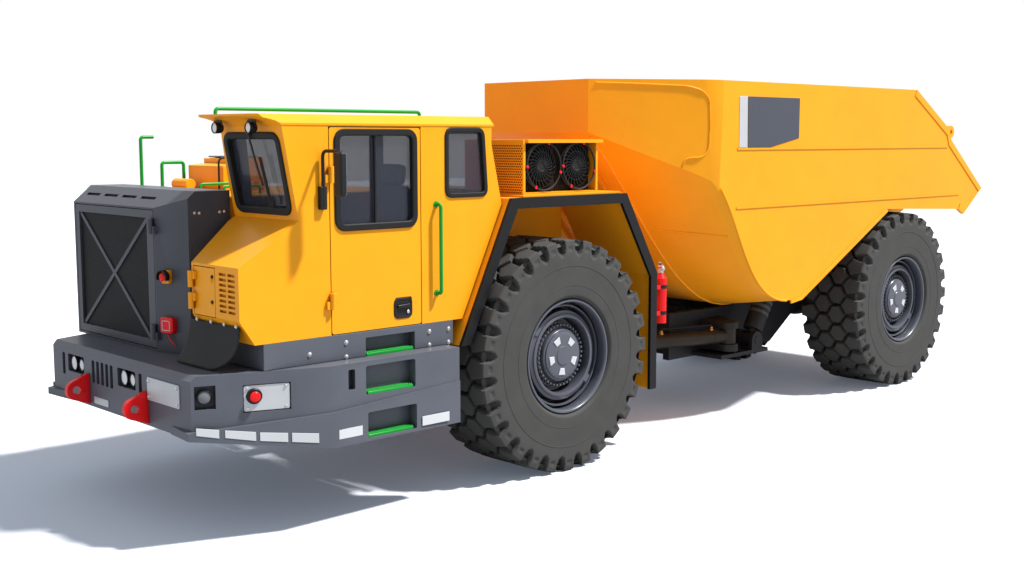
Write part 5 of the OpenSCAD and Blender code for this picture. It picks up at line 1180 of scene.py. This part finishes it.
class TRUCK_OT_stage(bpy.types.Operator):
    """Sets the floor, the lights, the surrounding white and the camera."""

    bl_idname = "truck.stage"
    bl_label = "Stage"

    def execute(self, context):
        scene = context.scene
        scene.view_settings.view_transform = "Standard"
        u = np.linspace(-1, 1, 3)
        gx, gy = np.meshgrid(u * FLOOR_HALF, u * FLOOR_HALF, indexing="ij")
        floor_mesh = bpy.data.meshes.new("floor")
        floor_mesh.from_pydata(np.stack([gx, gy, gx * 0], -1).reshape(-1, 3).tolist(), [],
            [row[::-1] for row in grid_faces(3, 3)])
        floor_mesh.materials.append(studio_floor("#E4E9F4", "#B0B2B6", 0.11))
        floor = bpy.data.objects.new("floor", floor_mesh)
        scene.collection.objects.link(floor)
        sun = bpy.data.lights.new("key", "SUN")
        sun.energy, sun.angle, sun.color = SUN_POWER, math.radians(4), (1.0, 0.97, 0.92)
        key = bpy.data.objects.new("key", sun)
        key.rotation_euler = (math.atan2(math.hypot(1.0, 1.0), 2.2), 0, math.atan2(-1.0, -1.0))
        scene.collection.objects.link(key)
        world = bpy.data.worlds.new("studio")
        world.use_nodes = True
        t = world.node_tree
        t.nodes.clear()
        out = add(t, "ShaderNodeOutputWorld")
        light = add(t, "ShaderNodeBackground", {"Color": (0.86, 0.93, 1.0, 1), "Strength": FILL_POWER})
        seen = add(t, "ShaderNodeBackground", {"Color": (1, 1, 1, 1), "Strength": 1.0})
        path = add(t, "ShaderNodeLightPath")
        mirrored_rays = add(t, "ShaderNodeMath", {"operation": "MAXIMUM"}, i0=path.outputs["Is Glossy Ray"],
            i1=path.outputs["Is Transmission Ray"])
        plain_rays = add(t, "ShaderNodeMath", {"operation": "MAXIMUM"}, i0=path.outputs["Is Camera Ray"],
            i1=mirrored_rays.outputs[0])
        mix = add(t, "ShaderNodeMixShader", {}, Fac=plain_rays.outputs[0])
        t.links.new(light.outputs[0], mix.inputs[1])
        t.links.new(seen.outputs[0], mix.inputs[2])
        t.links.new(mix.outputs[0], out.inputs["Surface"])
        scene.world = world
        cam = bpy.data.cameras.new("camera")
        cam.sensor_width, cam.lens = 36, CAMERA_LENS
        cam.clip_end = 400
        eye = bpy.data.objects.new("camera", cam)
        eye.location = CAMERA_AT
        eye.rotation_euler = (math.radians(90 - CAMERA_PITCH), 0, math.radians(CAMERA_YAW - 90))
        scene.collection.objects.link(eye)
        scene.camera = eye
        return {"FINISHED"}


class TRUCK_PT_panel(bpy.types.Panel):
    """Lists the steps that dress the truck."""

    bl_idname = "TRUCK_PT_panel"
    bl_label = "Dump Truck"
    bl_space_type = "VIEW_3D"
    bl_region_type = "UI"
    bl_category = "Dump Truck"

    def draw(self, context):
        for step in STEPS:
            self.layout.operator(step.bl_idname)


STEPS = (
    TRUCK_OT_stage,
    TRUCK_OT_finishes,
    TRUCK_OT_wheels,
    TRUCK_OT_seals,
    TRUCK_OT_lamps,
    TRUCK_OT_cab_trim,
    TRUCK_OT_seat,
    TRUCK_OT_radiator_trim,
    TRUCK_OT_bumper_trim,
    TRUCK_OT_rails,
    TRUCK_OT_fans,
    TRUCK_OT_dump_trim,
    TRUCK_OT_cylinders,
    TRUCK_OT_extinguisher,
)
CLASSES = (TruckColours, TruckSizes, *STEPS, TRUCK_PT_panel)


def register():
    """Registers the classes and their settings."""
    for c in CLASSES:
        bpy.utils.register_class(c)
    bpy.types.Scene.truck_colours = bpy.props.PointerProperty(type=TruckColours)
    bpy.types.Scene.truck_sizes = bpy.props.PointerProperty(type=TruckSizes)


def unregister():
    """Takes the settings and the classes away again."""
    del bpy.types.Scene.truck_colours, bpy.types.Scene.truck_sizes
    for c in reversed(CLASSES):
        bpy.utils.unregister_class(c)


def main():
    register()
    for step in STEPS:
        group, name = step.bl_idname.split(".")
        getattr(getattr(bpy.ops, group), name)()


if __name__ == "__main__":
    main()
